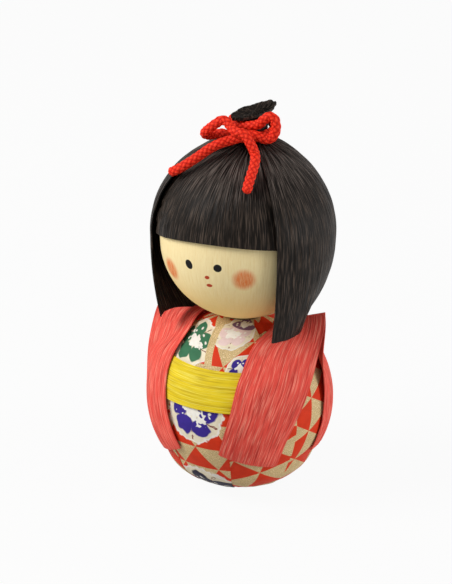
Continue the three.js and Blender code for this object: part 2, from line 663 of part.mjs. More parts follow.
// Red cord: once round the topknot and tied in a bow. Its route runs from the end of the left tail through
// the right loop, the turn and the left loop to the end of the right tail, as points given
// [to the doll's left, out from the topknot, above the knot].
const KNOT_Z = topknotFootZ + KNOT_RISE;
const nearLayer = threadRadius + THREAD_DIAMETER / 2 + CLEARANCE + CORD_DIAMETER / 2;
const strand = KNOT_STRAND_STEP / 2;
const turnPoints = Array.from({ length: CORD_TURN_POINTS + 1 }, (_, i) => {
  const angle = (2 * Math.PI * i) / CORD_TURN_POINTS;
  const up = lerp(strand, -strand, i / CORD_TURN_POINTS) - KNOT_TILT * (0.5 + 0.5 * Math.cos(angle));
  return [-nearLayer * Math.sin(angle), nearLayer * Math.cos(angle), up];
});
const CORD_ROUTE = [
  [-17.5, 11.7, -10.6], [-14.7, 12.9, -8.7], [-12.3, 12.6, -7], [-10.1, 11.6, -5.4], [-8, 10.6, -3.8],
  [-5.6, 10, -2.4], [-3.4, 9, -1.7], [-1.6, 8.4, -1.1], [0, 8, -0.2],
  [1.5, 7.9, -0.2], [2.7, 7.6, -0.3], [3.8, 7.2, -0.8], [5, 6.8, -1.2], [6.3, 6.4, -0.8], [7.2, 6.2, 0.8],
  [7.2, 6, 2.4], [6.7, 5.8, 3.8], [5.5, 5.7, 4.2], [4.2, 5.6, 3.3], [2.8, 5.4, 1.9],
  ...turnPoints,
  [-2.2, 5.2, -2.1], [-4.3, 5, -1.9], [-6.3, 4.7, -1.7], [-8.2, 4.6, -2.1], [-9.7, 5.2, -2.3],
  [-10.3, 6.4, -1.6], [-9.7, 7.6, -0.5], [-8.5, 8.1, 0.7], [-7, 8.1, 2], [-5.6, 8.1, 2.9], [-4.3, 8.4, 2.7],
  [-3, 9.2, 1.7], [-1.6, 10.4, 1.2], [0, 10.8, 1.1],
  [1.4, 11.1, 0.3], [2.2, 11.4, -0.8], [3, 11.6, -2], [3.7, 12, -3.4], [4.3, 13.8, -4.2], [4.4, 15.2, -5.3],
  [4.2, 16.7, -6.9], [4, 18.4, -8.6], [4, 20.4, -10.3],
];
const knotLeft = polar(1, 90, KNOT_AZIMUTH + 90);
const knotOut = polar(1, 90, KNOT_AZIMUTH);
const cordRoute = new THREE.CatmullRomCurve3(
  CORD_ROUTE.map(([left, out, up]) => {
    const onAxis = new THREE.Vector3(0, GATHER_BACK, KNOT_Z + up);
    return onAxis.addScaledVector(knotLeft, left).addScaledVector(knotOut, out);
  }),
);
addPiece('hair_cord', tubeGeometry(cordRoute, CORD_DIAMETER, CORD_SIDES, CORD_STEPS), LOOKS.cord);
console.log('hair_cord length', cordRoute.getLength());
console.log('hair_cord least gap to itself', leastGapToItself(cordRoute, CORD_DIAMETER, CORD_STEPS * 4));
console.log('heights', { BODY_Z, BODY_TOP_Z, HEAD_Z, KNOT_Z, topknotTopZ });

export default doll;
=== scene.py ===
import json
import math

import bpy
import numpy as np
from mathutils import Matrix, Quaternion, Vector


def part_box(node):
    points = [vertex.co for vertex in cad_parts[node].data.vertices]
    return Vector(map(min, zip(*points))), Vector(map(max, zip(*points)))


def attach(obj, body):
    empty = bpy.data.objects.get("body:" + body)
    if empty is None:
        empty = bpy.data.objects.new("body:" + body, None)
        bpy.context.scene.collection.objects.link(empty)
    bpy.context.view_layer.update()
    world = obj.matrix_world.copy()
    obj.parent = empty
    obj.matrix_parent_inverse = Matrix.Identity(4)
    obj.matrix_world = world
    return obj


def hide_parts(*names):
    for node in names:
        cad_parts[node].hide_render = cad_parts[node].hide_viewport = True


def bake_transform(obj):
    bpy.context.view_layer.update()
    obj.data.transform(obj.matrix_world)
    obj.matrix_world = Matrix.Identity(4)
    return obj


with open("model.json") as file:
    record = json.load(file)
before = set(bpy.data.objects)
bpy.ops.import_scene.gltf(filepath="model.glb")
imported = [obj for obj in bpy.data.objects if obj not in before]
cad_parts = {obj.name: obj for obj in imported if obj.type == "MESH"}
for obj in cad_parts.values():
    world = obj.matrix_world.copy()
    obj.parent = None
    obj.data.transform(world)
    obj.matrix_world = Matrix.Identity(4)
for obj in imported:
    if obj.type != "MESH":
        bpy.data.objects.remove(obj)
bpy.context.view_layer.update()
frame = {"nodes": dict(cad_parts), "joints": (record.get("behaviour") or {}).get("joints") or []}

# Camera: it stands a little above the doll and round to its left, far off with a long lens, and looks
# at the middle of the picture, just under the chin. It is held a little askew.
MM = 0.001
CAMERA_AZIMUTH = math.radians(30.3)
CAMERA_ELEVATION = math.radians(22.1)
CAMERA_ROLL = math.radians(0.9)
CAMERA_DISTANCE = 900 * MM
CAMERA_LENS = 227.5
PICTURE_MIDDLE = Vector((-0.88, -6.34, 52.52)) * MM


def way_to(azimuth, elevation):
    """The way from the doll, round from its front to its left by the azimuth and up by the elevation."""
    level = math.cos(elevation)
    return Vector((math.sin(azimuth) * level, -math.cos(azimuth) * level, math.sin(elevation)))


bpy.ops.object.camera_add()
camera = bpy.context.object
towards_camera = way_to(CAMERA_AZIMUTH, CAMERA_ELEVATION)
camera.location = PICTURE_MIDDLE + CAMERA_DISTANCE * towards_camera
upright = towards_camera.to_track_quat("Z", "Y")
camera.rotation_euler = (upright @ Quaternion((0, 0, 1), CAMERA_ROLL)).to_euler()
camera.data.sensor_fit = "VERTICAL"
camera.data.sensor_height = 36
camera.data.lens = CAMERA_LENS
bpy.context.scene.camera = camera

# Hair cord: round braided cord of red silk, 2.5 mm thick, taken once round the topknot over its thread
# and tied in a bow. Both tails lie on the hair, with their ends sealed round.
CORD_DIAMETER = 2.5 * MM
CORD_SPACING = 0.12 * MM
CORD_SIDES = 40
CORD_END = 1.1 * MM
CURVE_STEPS = 40
BRAID_STRANDS = 5
BRAID_STEP = 1.5 * MM
BRAID_DEPTH = 0.24 * MM
GATHER_BACK = 4 * MM
KNOT_AZIMUTH = math.radians(15)
KNOT_RISE = 2.5 * MM
KNOT_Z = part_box("topknot")[0].z + KNOT_RISE
TURN_RADIUS = 5.15
STRAND = 1.5
TURN_TILT = 0.45
TURN_POINTS = 8
# Painted shade in the grooves between the strands, and a painted highlight on their crests
SILK_GROOVE_SHADE = (0.46, 0.006, 0.002)
SILK_RED = (0.82, 0.022, 0.006)
SILK_CREST_HIGHLIGHT = (0.93, 0.06, 0.024)
SILK_FIBRE = (0.95, 0.11, 0.05)
SMOOTH_ANGLE = math.radians(60)


def through(points, steps):
    """Points on a smooth curve through the given ones, with this many steps to each stretch."""
    points = np.array(points, dtype=float)
    guides = np.vstack([2 * points[0] - points[1], points, 2 * points[-1] - points[-2]])
    curve = []
    for a, b, c, d in zip(guides, guides[1:], guides[2:], guides[3:]):
        at_b = np.linalg.norm(b - a) ** 0.5
        at_c = at_b + np.linalg.norm(c - b) ** 0.5
        at_d = at_c + np.linalg.norm(d - c) ** 0.5
        t = np.linspace(at_b, at_c, steps, endpoint=False)[:, None]
        ab = (a * (at_b - t) + b * t) / at_b
        bc = (b * (at_c - t) + c * (t - at_b)) / (at_c - at_b)
        cd = (c * (at_d - t) + d * (t - at_c)) / (at_d - at_c)
        abc = (ab * (at_c - t) + bc * t) / at_c
        bcd = (bc * (at_d - t) + cd * (t - at_b)) / (at_d - at_b)
        curve.append((abc * (at_c - t) + bcd * (t - at_b)) / (at_c - at_b))
    return np.vstack([*curve, points[-1:]])


def evenly_spaced(curve, spacing):
    """The same line with its points a set distance apart, and how far along it each one is."""
    steps = np.linalg.norm(np.diff(curve, axis=0), axis=1)
    travelled = np.concatenate([[0], np.cumsum(steps)])
    marks = np.linspace(0, travelled[-1], round(travelled[-1] / spacing) + 1)
    return np.column_stack([np.interp(marks, travelled, axis) for axis in curve.T]), marks


def pick(*pieces):
    """Select these pieces alone, with the first of them active."""
    bpy.ops.object.select_all(action="DESELECT")
    for piece in pieces:
        piece.select_set(True)
    bpy.context.view_layer.objects.active = pieces[0]


def corners_of(mesh):
    flat = np.empty(len(mesh.vertices) * 3)
    mesh.vertices.foreach_get("co", flat)
    return flat.reshape(-1, 3)


def new_grid(name, columns, rows):
    """A flat grid to be shaped, with the share across it and the share down it of each of its points."""
    bpy.ops.object.select_all(action="DESELECT")
    bpy.ops.mesh.primitive_grid_add(x_subdivisions=columns, y_subdivisions=rows, size=1)
    piece = bpy.context.object
    piece.name = name
    piece.data.name = name
    flat = corners_of(piece.data)
    return piece, np.clip(flat[:, 0] + 0.5, 0, 1), np.clip(0.5 - flat[:, 1], 0, 1)


def shape(piece, points):
    piece.data.vertices.foreach_set("co", np.ascontiguousarray(points, dtype=np.float32).ravel())
    piece.data.update()


def grain_map(piece, across, along):
    """UV map in millimetres: across the grain of the material and along it."""
    layer = piece.data.uv_layers[0]
    layer.name = "grain"
    corners = np.empty(len(piece.data.loops), dtype=np.int32)
    piece.data.loops.foreach_get("vertex_index", corners)
    places = np.column_stack([across, along])[corners] / MM
    layer.data.foreach_set("uv", places.astype(np.float32).ravel())


def close_seams(piece):
    """Merge the points that meet at a seam or a pole."""
    pick(piece)
    bpy.ops.object.mode_set(mode="EDIT")
    bpy.ops.mesh.select_all(action="SELECT")
    bpy.ops.mesh.remove_doubles(threshold=1e-6)
    bpy.ops.mesh.normals_make_consistent(inside=False)
    bpy.ops.object.mode_set(mode="OBJECT")


def smooth(piece):
    pick(piece)
    bpy.ops.object.shade_smooth_by_angle(angle=SMOOTH_ANGLE)


def set_values(piece, name, values):
    """Keep a value at each point of a piece, for its material to read."""
    attribute = piece.data.attributes.new(name, "FLOAT", "POINT")
    attribute.data.foreach_set("value", values.astype(np.float32))


def tube(name, path, marks, radius, sides):
    """A closed tube along a path, its radius a function of the angle round it and the distance along it."""
    piece, across, along = new_grid(name, sides, len(path) - 1)
    tangents = np.gradient(path, axis=0)
    tangents /= np.linalg.norm(tangents, axis=1)[:, None]
    normals = np.empty_like(path)
    normals[0] = np.cross(tangents[0], (0, 0, 1))
    for i in range(1, len(path)):
        normals[i] = normals[i - 1] - tangents[i] * np.dot(tangents[i], normals[i - 1])
    normals /= np.linalg.norm(normals, axis=1)[:, None]
    beside = np.cross(tangents, normals)
    step = np.rint(along * (len(path) - 1)).astype(int)
    angle = 2 * np.pi * np.where(across > 1 - 1e-6, 0, across)
    distance = marks[step]
    reach = radius(angle, distance)[:, None]
    outward = normals[step] * np.cos(angle)[:, None] - beside[step] * np.sin(angle)[:, None]
    shape(piece, path[step] + outward * reach)
    grain_map(piece, across * np.pi * CORD_DIAMETER, distance)
    return piece, angle, distance


def rounded_end(distance, length, end):
    """Share of its full radius that a cord has this far along it, with both its ends rounded off."""
    from_end = np.clip(np.minimum(distance, length - distance) / end, 0, 1)
    return np.sqrt(1 - (1 - from_end) ** 2)


def braid_relief(angle, distance):
    """Height of the braid, 0 to 1: strands wind both ways and pass over and under each other."""
    turn = BRAID_STRANDS * angle / (2 * np.pi)
    left, right = turn + distance / BRAID_STEP, turn - distance / BRAID_STEP
    left_on_top = (np.floor(left) + np.floor(right)) % 2 == 0
    left_bow, right_bow = (np.cos(np.pi * (share % 1 - 0.5)) for share in (left, right))
    over, under = np.where(left_on_top, left_bow, right_bow), np.where(left_on_top, right_bow, left_bow)
    return over ** 0.8 * (0.55 + 0.45 * under ** 0.5)


def add_node(tree, kind, inputs=None, **settings):
    """A shader node of this kind with its settings and its inputs, each a value or another node's output."""
    node = tree.nodes.new(f"ShaderNode{kind}")
    for name, value in settings.items():
        setattr(node, name, value)
    for name, value in (inputs or {}).items():
        if isinstance(value, bpy.types.NodeSocket):
            tree.links.new(value, node.inputs[name])
        else:
            node.inputs[name].default_value = value
    return node


def blend_colours(tree, share, first, second, blend_type="MIX"):
    node = add_node(tree, "Mix", data_type="RGBA", blend_type=blend_type)
    for name, value in (("Factor_Float", share), ("A_Color", first), ("B_Color", second)):
        socket = next(entry for entry in node.inputs if entry.identifier == name)
        if isinstance(value, bpy.types.NodeSocket):
            tree.links.new(value, socket)
        else:
            socket.default_value = value if name == "Factor_Float" else (*value, 1)
    return next(entry for entry in node.outputs if entry.identifier == "Result_Color")


def ramp(tree, value, low, high):
    """0 at or below low, 1 at or above high, smooth between them."""
    inputs = {"Value": value, "From Min": low, "From Max": high}
    return add_node(tree, "MapRange", inputs, interpolation_type="SMOOTHSTEP").outputs["Result"]


def fade(tree, value, low, high, first, second):
    """The first colour where the value is at or below low, the second where it is at or above high."""
    return blend_colours(tree, ramp(tree, value, low, high), first, second)


def new_material(name, **finish):
    """A material, its node tree and its shader, with the finish set on the shader's own sockets."""
    material = bpy.data.materials.new(name)
    material.use_nodes = True
    tree = material.node_tree
    shader = tree.nodes["Principled BSDF"]
    for socket, value in finish.items():
        shader.inputs[socket.replace("_", " ")].default_value = value
    return material, tree, shader


def scaled_noise(tree, place, scale, detail):
    """Noise in cells of one unit of the place divided by the scale, which may differ along x, y and z."""
    scaled = add_node(tree, "Mapping", {"Vector": place, "Scale": scale}).outputs["Vector"]
    inputs = {"Vector": scaled, "Scale": 1.0, "Detail": detail, "Roughness": 0.6}
    return add_node(tree, "TexNoise", inputs).outputs["Fac"]


def stretched_noise(tree, place, across, along, detail=3.0):
    """Noise in cells of this width and length, in millimetres on the grain map."""
    return scaled_noise(tree, place, (1 / across, 1 / along, 1), detail)


def grain_place(tree):
    return add_node(tree, "UVMap", uv_map="grain").outputs["UV"]


def surface(tree, shader, colour, height, depth):
    """Give a shader its colour, and bumps of this depth where the height is 1."""
    tree.links.new(colour, shader.inputs["Base Color"])
    inputs = {"Height": height, "Distance": depth, "Strength": 1.0}
    tree.links.new(add_node(tree, "Bump", inputs).outputs["Normal"], shader.inputs["Normal"])


def finished(piece, material, node):
    """Give a piece its material, hang it on the doll's body and hide the solid it stands for."""
    piece.data.materials.clear()
    piece.data.materials.append(material)
    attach(piece, "doll")
    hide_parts(node)


turn_points = [
    (-TURN_RADIUS * math.sin(angle), TURN_RADIUS * math.cos(angle),
     STRAND * (1 - 2 * share) - TURN_TILT * (0.5 + 0.5 * math.cos(angle)))
    for share in (i / TURN_POINTS for i in range(TURN_POINTS + 1))
    for angle in [2 * math.pi * share]
]
# Millimetres to the doll's left, out from the topknot and above the knot
CORD_ROUTE = [
    (-17.5, 11.7, -10.6), (-14.7, 12.9, -8.7), (-12.3, 12.6, -7), (-10.1, 11.6, -5.4), (-8, 10.6, -3.8),
    (-5.6, 10, -2.4), (-3.4, 9, -1.7), (-1.6, 8.4, -1.1), (0, 8, -0.2),
    (1.5, 7.9, -0.2), (2.7, 7.6, -0.3), (3.8, 7.2, -0.8), (5, 6.8, -1.2), (6.3, 6.4, -0.8), (7.2, 6.2, 0.8),
    (7.2, 6, 2.4), (6.7, 5.8, 3.8), (5.5, 5.7, 4.2), (4.2, 5.6, 3.3), (2.8, 5.4, 1.9),
    *turn_points,
    (-2.2, 5.2, -2.1), (-4.3, 5, -1.9), (-6.3, 4.7, -1.7), (-8.2, 4.6, -2.1), (-9.7, 5.2, -2.3),
    (-10.3, 6.4, -1.6), (-9.7, 7.6, -0.5), (-8.5, 8.1, 0.7), (-7, 8.1, 2), (-5.6, 8.1, 2.9), (-4.3, 8.4, 2.7),
    (-3, 9.2, 1.7), (-1.6, 10.4, 1.2), (0, 10.8, 1.1),
    (1.4, 11.1, 0.3), (2.2, 11.4, -0.8), (3, 11.6, -2), (3.7, 12, -3.4), (4.3, 13.8, -4.2),
    (4.4, 15.2, -5.3), (4.2, 16.7, -6.9), (4, 18.4, -8.6), (4, 20.4, -10.3),
]
knot_left = np.array((math.cos(KNOT_AZIMUTH), math.sin(KNOT_AZIMUTH), 0))
knot_out = np.array((math.sin(KNOT_AZIMUTH), -math.cos(KNOT_AZIMUTH), 0))
cord_points = [
    np.array((0, GATHER_BACK, KNOT_Z + up * MM)) + (knot_left * left + knot_out * out) * MM
    for left, out, up in CORD_ROUTE
]
cord_path, cord_marks = evenly_spaced(through(cord_points, CURVE_STEPS), CORD_SPACING)
cord_length = cord_marks[-1]


def cord_radius(angle, distance):
    braided = CORD_DIAMETER / 2 - BRAID_DEPTH * (1 - braid_relief(angle, distance))
    return rounded_end(distance, cord_length, CORD_END) * braided


cord, cord_angle, cord_distance = tube("hair_cord_braid", cord_path, cord_marks, cord_radius, CORD_SIDES)
set_values(cord, "relief", braid_relief(cord_angle, cord_distance))
close_seams(cord)
smooth(cord)

red_silk, tree, shader = new_material("red_braided_silk", Roughness=0.55, Specular_IOR_Level=0.12)
height = add_node(tree, "Attribute", attribute_name="relief").outputs["Fac"]
fibres = stretched_noise(tree, grain_place(tree), 0.12, 0.5)
# Painted light: painted shade in the grooves between the strands, a painted highlight on their crests
lit = fade(tree, height, 0.2, 0.75, SILK_GROOVE_SHADE, SILK_RED)
lit = fade(tree, height, 0.75, 1, lit, SILK_CREST_HIGHLIGHT)
lit = fade(tree, fibres, 0.5, 0.8, lit, SILK_FIBRE)
surface(tree, shader, lit, fibres, 0.05 * MM)
finished(cord, red_silk, "hair_cord")

# Cores: hollow papier-mache balls for body and head, each pasted up in two halves under a paper strip.
# An iron slug is glued into the foot, and a wooden peg through the neck holds the balls together.


def object_place(tree):
    return add_node(tree, "TexCoord").outputs["Object"]


def speckled(name, scale, dark, pale, depth, **finish):
    """A material of two mottled tones with a bump of this depth."""
    material, tree, shader = new_material(name, **finish)
    speckle = scaled_noise(tree, object_place(tree), scale, detail=4.0)
    tones = fade(tree, speckle, 0.36, 0.64, dark, pale)
    surface(tree, shader, tones, speckle, depth)
    return material


pulp = speckled(
    "papier_mache_pulp", (900,) * 3, (0.38, 0.31, 0.19), (0.57, 0.48, 0.33), 0.2 * MM, Roughness=0.95)
seam_paper = speckled(
    "seam_paper", (1800,) * 3, (0.62, 0.55, 0.41), (0.75, 0.68, 0.54), 0.06 * MM, Roughness=0.9)
iron = speckled(
    "rough_cast_iron", (1400,) * 3, (0.04, 0.04, 0.042), (0.11, 0.1, 0.1), 0.15 * MM,
    Roughness=0.6, Metallic=0.8)
peg_wood = speckled(
    "bare_peg_wood", (2600, 2600, 170), (0.44, 0.24, 0.09), (0.66, 0.43, 0.2), 0.05 * MM, Roughness=0.75)
for finish, nodes in (
    (pulp, ("body_core_lower", "body_core_upper", "head_core_lower", "head_core_upper")),
    (seam_paper, ("body_seam_tape", "head_seam_tape")),
    (iron, ("ballast_weight",)),
    (peg_wood, ("neck_peg",)),
):
    for node in nodes:
        for place in frame["nodes"][node].material_slots:
            place.material = finish

# Kimono paper: handmade paper printed with rows of red triangles and with blossoms on flecked gold, cut
# in eight gores and pasted over the body, each lapped over the next. A round patch covers their ends.
BODY_Z = 23 * MM
BODY_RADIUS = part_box("kimono_wrap")[1].x
GORES = 8
GORE_WIDTH = 2 * math.pi * BODY_RADIUS / GORES
GORE_LAP = 0.7 * MM
GORE_LIFT = 0.1 * MM
GORE_TURNS = (0, 22, 205, 14, 0, -18, 10, -22)
WRAP_TOP = math.radians(12)
WRAP_FOOT = math.radians(172)
WRAP_PAPER = 0.16 * MM
WRAP_CREASES = 0.05 * MM
WRAP_CREASE_SIZE = (1.6 * MM, 5 * MM)
TRIANGLE_BASE = 9.6
TRIANGLE_HEIGHT = 7
PRINT_START = 40.9
PRINT_REPEAT = 8 * TRIANGLE_BASE * MM
GOLD = (0.71, 0.53, 0.27)
GOLD_FLECK = (0.34, 0.25, 0.11)
GOLD_GLINT = (0.92, 0.76, 0.48)
PRINT_RED = (0.7, 0.042, 0.011)
PRINT_WHITE = (0.88, 0.85, 0.78)
PRINT_CREAM = (0.83, 0.75, 0.57)
INDIGO = (0.044, 0.024, 0.26)
NAVY = (0.014, 0.011, 0.032)
LEAF_GREEN = (0.045, 0.17, 0.085)
PALE_PINK = (0.8, 0.62, 0.6)
PATCH_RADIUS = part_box("base_patch")[1].x
PATCH_FLAT_RADIUS = 3 * MM
PATCH_RIM = 0.3 * MM
PATCH_BULGE = 0.4
FOOT_FULLNESS = 0.85 * MM
FOOT_FULL_FROM = (120, 135)
FOOT_FULL_TO = (144, 164)


def on_ball(centre_z, radius, angle, azimuth):
    """Points this far from a ball's middle, at an angle down from its top and round to the doll's left."""
    reach = radius * np.sin(angle)
    return np.column_stack([
        reach * np.sin(azimuth),
        -reach * np.cos(azimuth),
        centre_z + radius * np.cos(angle),
    ])


def between(first, last, share):
    return first + (last - first) * share


def ease(value, low, high):
    """0 at or below low, 1 at or above high, smooth between them."""
    share = np.clip((value - low) / (high - low), 0, 1)
    return share * share * (3 - 2 * share)


def crinkle(across, along, width, length, seed):
    """Smooth random heights, -1 to 1, in cells of this width and length."""
    columns, rows = (across - across.min()) / width, (along - along.min()) / length
    heights = np.random.default_rng(seed).uniform(-1, 1, (int(columns.max()) + 2, int(rows.max()) + 2))
    column, row = columns.astype(int), rows.astype(int)
    over, down = ease(columns - column, 0, 1), ease(rows - row, 0, 1)
    near = between(heights[column, row], heights[column + 1, row], over)
    far = between(heights[column, row + 1], heights[column + 1, row + 1], over)
    return between(near, far, down)


def thicken(piece, thickness):
    """Give a sheet its thickness, inwards from the face that shows."""
    pick(piece)
    bpy.ops.object.modifier_add(type="SOLIDIFY")
    wall = piece.modifiers[-1]
    wall.thickness = thickness
    wall.offset = -1
    bpy.ops.object.modifier_apply(modifier=wall.name)


def join(pieces):
    pick(*pieces)
    bpy.ops.object.join()
    return pieces[0]


def print_place(azimuth, angle):
    """Where a point of the body lies on the printed sheet that its gore was cut from."""
    gore = np.rint(azimuth * GORES / (2 * math.pi))
    turn = np.radians(np.array(GORE_TURNS)[gore.astype(int) % GORES])
    over = BODY_RADIUS * np.sin(angle) * (azimuth - gore * 2 * math.pi / GORES)
    down = BODY_RADIUS * (angle - math.pi / 2)
    across = gore * PRINT_REPEAT + over * np.cos(turn) - down * np.sin(turn)
    return across, BODY_RADIUS * math.pi / 2 + over * np.sin(turn) + down * np.cos(turn)


def calc(tree, operation, first, second=0.0):
    return add_node(tree, "Math", {0: first, 1: second}, operation=operation).outputs[0]


def plus(tree, first, second):
    return calc(tree, "ADD", first, second)


def minus(tree, first, second):
    return calc(tree, "SUBTRACT", first, second)


def times(tree, first, second):
    return calc(tree, "MULTIPLY", first, second)


def length_of(tree, vector):
    return add_node(tree, "VectorMath", {0: vector}, operation="LENGTH").outputs["Value"]


def seen_from(tree, place, centre, turn, size):
    """A place as seen from a centre, along axes turned by these angles and in shares of this size."""
    inputs = {"Vector": place, "Location": centre, "Rotation": turn, "Scale": size}
    return add_node(tree, "Mapping", inputs, vector_type="TEXTURE").outputs["Vector"]


def inside(tree, distance, edge, softness=0.03):
    """1 where the distance is less than the edge, 0 where it is more, with a soft border."""
    return ramp(tree, minus(tree, edge, distance), -softness, softness)


def triangle_rows(tree, place):
    """1 on the printed triangles, which stand in rows on their bases and meet at their corners."""
    axes = add_node(tree, "SeparateXYZ", {0: place}).outputs
    down = calc(tree, "DIVIDE", minus(tree, axes["Y"], PRINT_START), TRIANGLE_HEIGHT)
    shift = times(tree, plus(tree, calc(tree, "FLOOR", down), 1.0), 0.5)
    over = calc(tree, "FRACT", plus(tree, calc(tree, "DIVIDE", axes["X"], TRIANGLE_BASE), shift))
    from_middle = calc(tree, "ABSOLUTE", minus(tree, over, 0.5))
    return inside(tree, from_middle, times(tree, calc(tree, "FRACT", down), 0.5), 0.012)


def nearest_blossom(tree, place, blossoms):
    """A place as seen from the middle of the nearest blossom, and the colour of that one's petals."""
    least, local_place, petals = 99.0, place, PRINT_WHITE
    for across, along, size, turn, colour in blossoms:
        local = seen_from(tree, place, (across, along, 0), (0, 0, math.radians(turn)), (size, size, 1))
        distance = length_of(tree, local)
        closer = calc(tree, "LESS_THAN", distance, least)
        least = calc(tree, "MINIMUM", distance, least)
        local_place = blend_colours(tree, closer, local_place, local)
        petals = blend_colours(tree, closer, petals, colour)
    return local_place, petals


def paint_blossoms(tree, place, ground, blossoms):
    """Blossoms over the ground: cream cloud with veins, five round petals with dots, white splash."""
    local, petals = nearest_blossom(tree, place, blossoms)
    inputs = {"Vector": place, "Scale": 0.3, "Detail": 1.0}
    drift = add_node(tree, "TexNoise", inputs).outputs["Color"]
    drift = add_node(tree, "VectorMath", {0: drift, 1: (0.5,) * 3}, operation="SUBTRACT").outputs[0]
    inputs = {0: drift, 1: (0.32, 0.32, 0), 2: local}
    bent = add_node(tree, "VectorMath", inputs, operation="MULTIPLY_ADD").outputs[0]
    distance = length_of(tree, bent)
    axes = add_node(tree, "SeparateXYZ", {0: bent}).outputs
    turns = calc(tree, "DIVIDE", calc(tree, "ARCTAN2", axes["Y"], axes["X"]), 2 * math.pi / 5)
    share = minus(tree, calc(tree, "FRACT", turns), 0.5)
    from_petal = times(tree, share, 2 * math.pi / 5)
    outward = times(tree, distance, calc(tree, "COSINE", from_petal))
    aside = times(tree, distance, calc(tree, "SINE", from_petal))

    def from_point(out, side):
        over = calc(tree, "POWER", minus(tree, outward, out), 2.0)
        beside = calc(tree, "POWER", minus(tree, aside, side), 2.0)
        return calc(tree, "POWER", plus(tree, over, beside), 0.5)

    ragged = minus(tree, stretched_noise(tree, place, 1.5, 1.5, detail=1.0), 0.5)
    cloud = plus(tree, distance, times(tree, ragged, 0.25))
    colour = blend_colours(tree, inside(tree, cloud, 1.04), ground, PRINT_WHITE)
    colour = blend_colours(tree, inside(tree, cloud, 0.97), colour, PRINT_CREAM)
    vein = minus(tree, 0.5, calc(tree, "ABSOLUTE", share))
    vein = plus(tree, vein, times(tree, ragged, 0.2))
    vein = inside(tree, calc(tree, "ABSOLUTE", vein), 0.014, 0.012)
    vein = times(tree, vein, inside(tree, cloud, 0.92))
    colour = blend_colours(tree, vein, colour, (0.2, 0.03, 0.02))
    petal = plus(tree, from_point(0.53, 0.0), times(tree, ragged, 0.05))
    colour = blend_colours(tree, inside(tree, petal, 0.33), colour, petals)
    upper = calc(tree, "LESS_THAN", axes["Y"], 0.1)
    for out, side in ((0.56, 0.08), (0.42, -0.2)):
        dot = times(tree, inside(tree, from_point(out, side), 0.055, 0.02), upper)
        colour = blend_colours(tree, dot, colour, PRINT_WHITE)
    stretched = seen_from(tree, bent, (0, 0, 0), (0, 0, math.radians(8)), (1.6, 0.8, 1))
    splash = plus(tree, length_of(tree, stretched), times(tree, ragged, 0.9))
    return blend_colours(tree, inside(tree, splash, 0.28), colour, PRINT_WHITE)


def shaded(tree, colour, noise, tone):
    """A colour that a tone darkens in patches, where the noise is low."""
    shade = fade(tree, noise, 0.3, 0.7, tone, (1, 1, 1))
    return blend_colours(tree, 1.0, colour, shade, "MULTIPLY")


def printed_paper(name, blossoms, plain_edge=0.0):
    """Printed paper with these blossoms: place on the grain map, size, turn and colour of each.

    Within the plain edge, in millimetres from the seam of the piece, the paper shows its gold alone.
    """
    material, tree, shader = new_material(name, Roughness=0.6, Specular_IOR_Level=0.12)
    place = grain_place(tree)
    flecks = stretched_noise(tree, place, 0.2, 0.2, detail=2.0)
    glints = stretched_noise(tree, place, 0.33, 0.33, detail=1.0)
    gold = fade(tree, flecks, 0.34, 0.5, GOLD_FLECK, GOLD)
    gold = fade(tree, glints, 0.58, 0.7, gold, GOLD_GLINT)
    colour = blend_colours(tree, triangle_rows(tree, place), gold, PRINT_RED)
    colour = paint_blossoms(tree, place, colour, blossoms)
    if plain_edge:
        from_seam = add_node(tree, "Attribute", attribute_name="from_seam").outputs["Fac"]
        colour = blend_colours(tree, inside(tree, from_seam, plain_edge), colour, gold)
    uneven = stretched_noise(tree, place, 2.5, 2.5)
    surface(tree, shader, shaded(tree, colour, uneven, (0.86, 0.85, 0.84)), flecks, 0.03 * MM)
    return material


def foot_fullness(angle):
    """How far the gathered folds of the wrap stand out round its foot, at this angle from the top."""
    degrees = np.degrees(angle)
    return FOOT_FULLNESS * ease(degrees, *FOOT_FULL_FROM) * (1 - ease(degrees, *FOOT_FULL_TO))


def gore(index):
    """One gore of the wrap, its left edge under its neighbour and its right edge over the next one."""
    piece, across, along = new_grid(f"kimono_gore_{index}", columns=28, rows=110)
    angle = between(WRAP_TOP, WRAP_FOOT, along)
    half = math.pi / GORES + GORE_LAP / 2 / (BODY_RADIUS * np.sin(angle))
    middle = 2 * math.pi * index / GORES
    from_middle = half * (2 * across - 1)
    over, down = across * GORE_WIDTH, along * math.pi * BODY_RADIUS
    creases = WRAP_CREASES * crinkle(over, down, *WRAP_CREASE_SIZE, seed=index)
    radius = BODY_RADIUS + GORE_LIFT * (2 * across - 1) + creases + foot_fullness(angle)
    shape(piece, on_ball(BODY_Z, radius, angle, middle + from_middle))
    inner = np.clip(from_middle, -0.999 * math.pi / GORES, 0.999 * math.pi / GORES)
    printed_across, printed_along = print_place(middle + inner, angle)
    grain_map(piece, printed_across, printed_along)
    thicken(piece, WRAP_PAPER)
    return piece


def body_blossoms(*rows):
    """Blossoms by their place on the body: azimuth and angle from the top in degrees, size in millimetres."""
    found = []
    for azimuth, angle, size, turn, colour in rows:
        across, along = print_place(np.array([math.radians(azimuth)]), np.array([math.radians(angle)]))
        found.append((across[0] / MM, along[0] / MM, size, turn, colour))
    return found


kimono = join([gore(index) for index in range(GORES)])
kimono.name = "kimono_paper"
kimono.data.name = "kimono_paper"
smooth(kimono)
kimono_print = printed_paper("printed_paper_body", body_blossoms(
    (-1, 82, 7.6, 20, INDIGO), (-3, 148, 8.8, 10, NAVY), (-48, 112, 6.4, 10, LEAF_GREEN),
    (100, 158, 5.8, 35, PALE_PINK), (116, 66, 6.6, 0, LEAF_GREEN), (124, 132, 6, 15, INDIGO),
    (146, 98, 7, 40, NAVY), (178, 62, 6.2, 5, PALE_PINK), (186, 124, 7.2, 25, INDIGO),
    (-136, 84, 7, 30, LEAF_GREEN), (-130, 134, 5.8, 0, NAVY), (-90, 66, 6.4, 12, INDIGO),
    (-94, 122, 6.4, 33, PALE_PINK),
))
finished(kimono, kimono_print, "kimono_wrap")

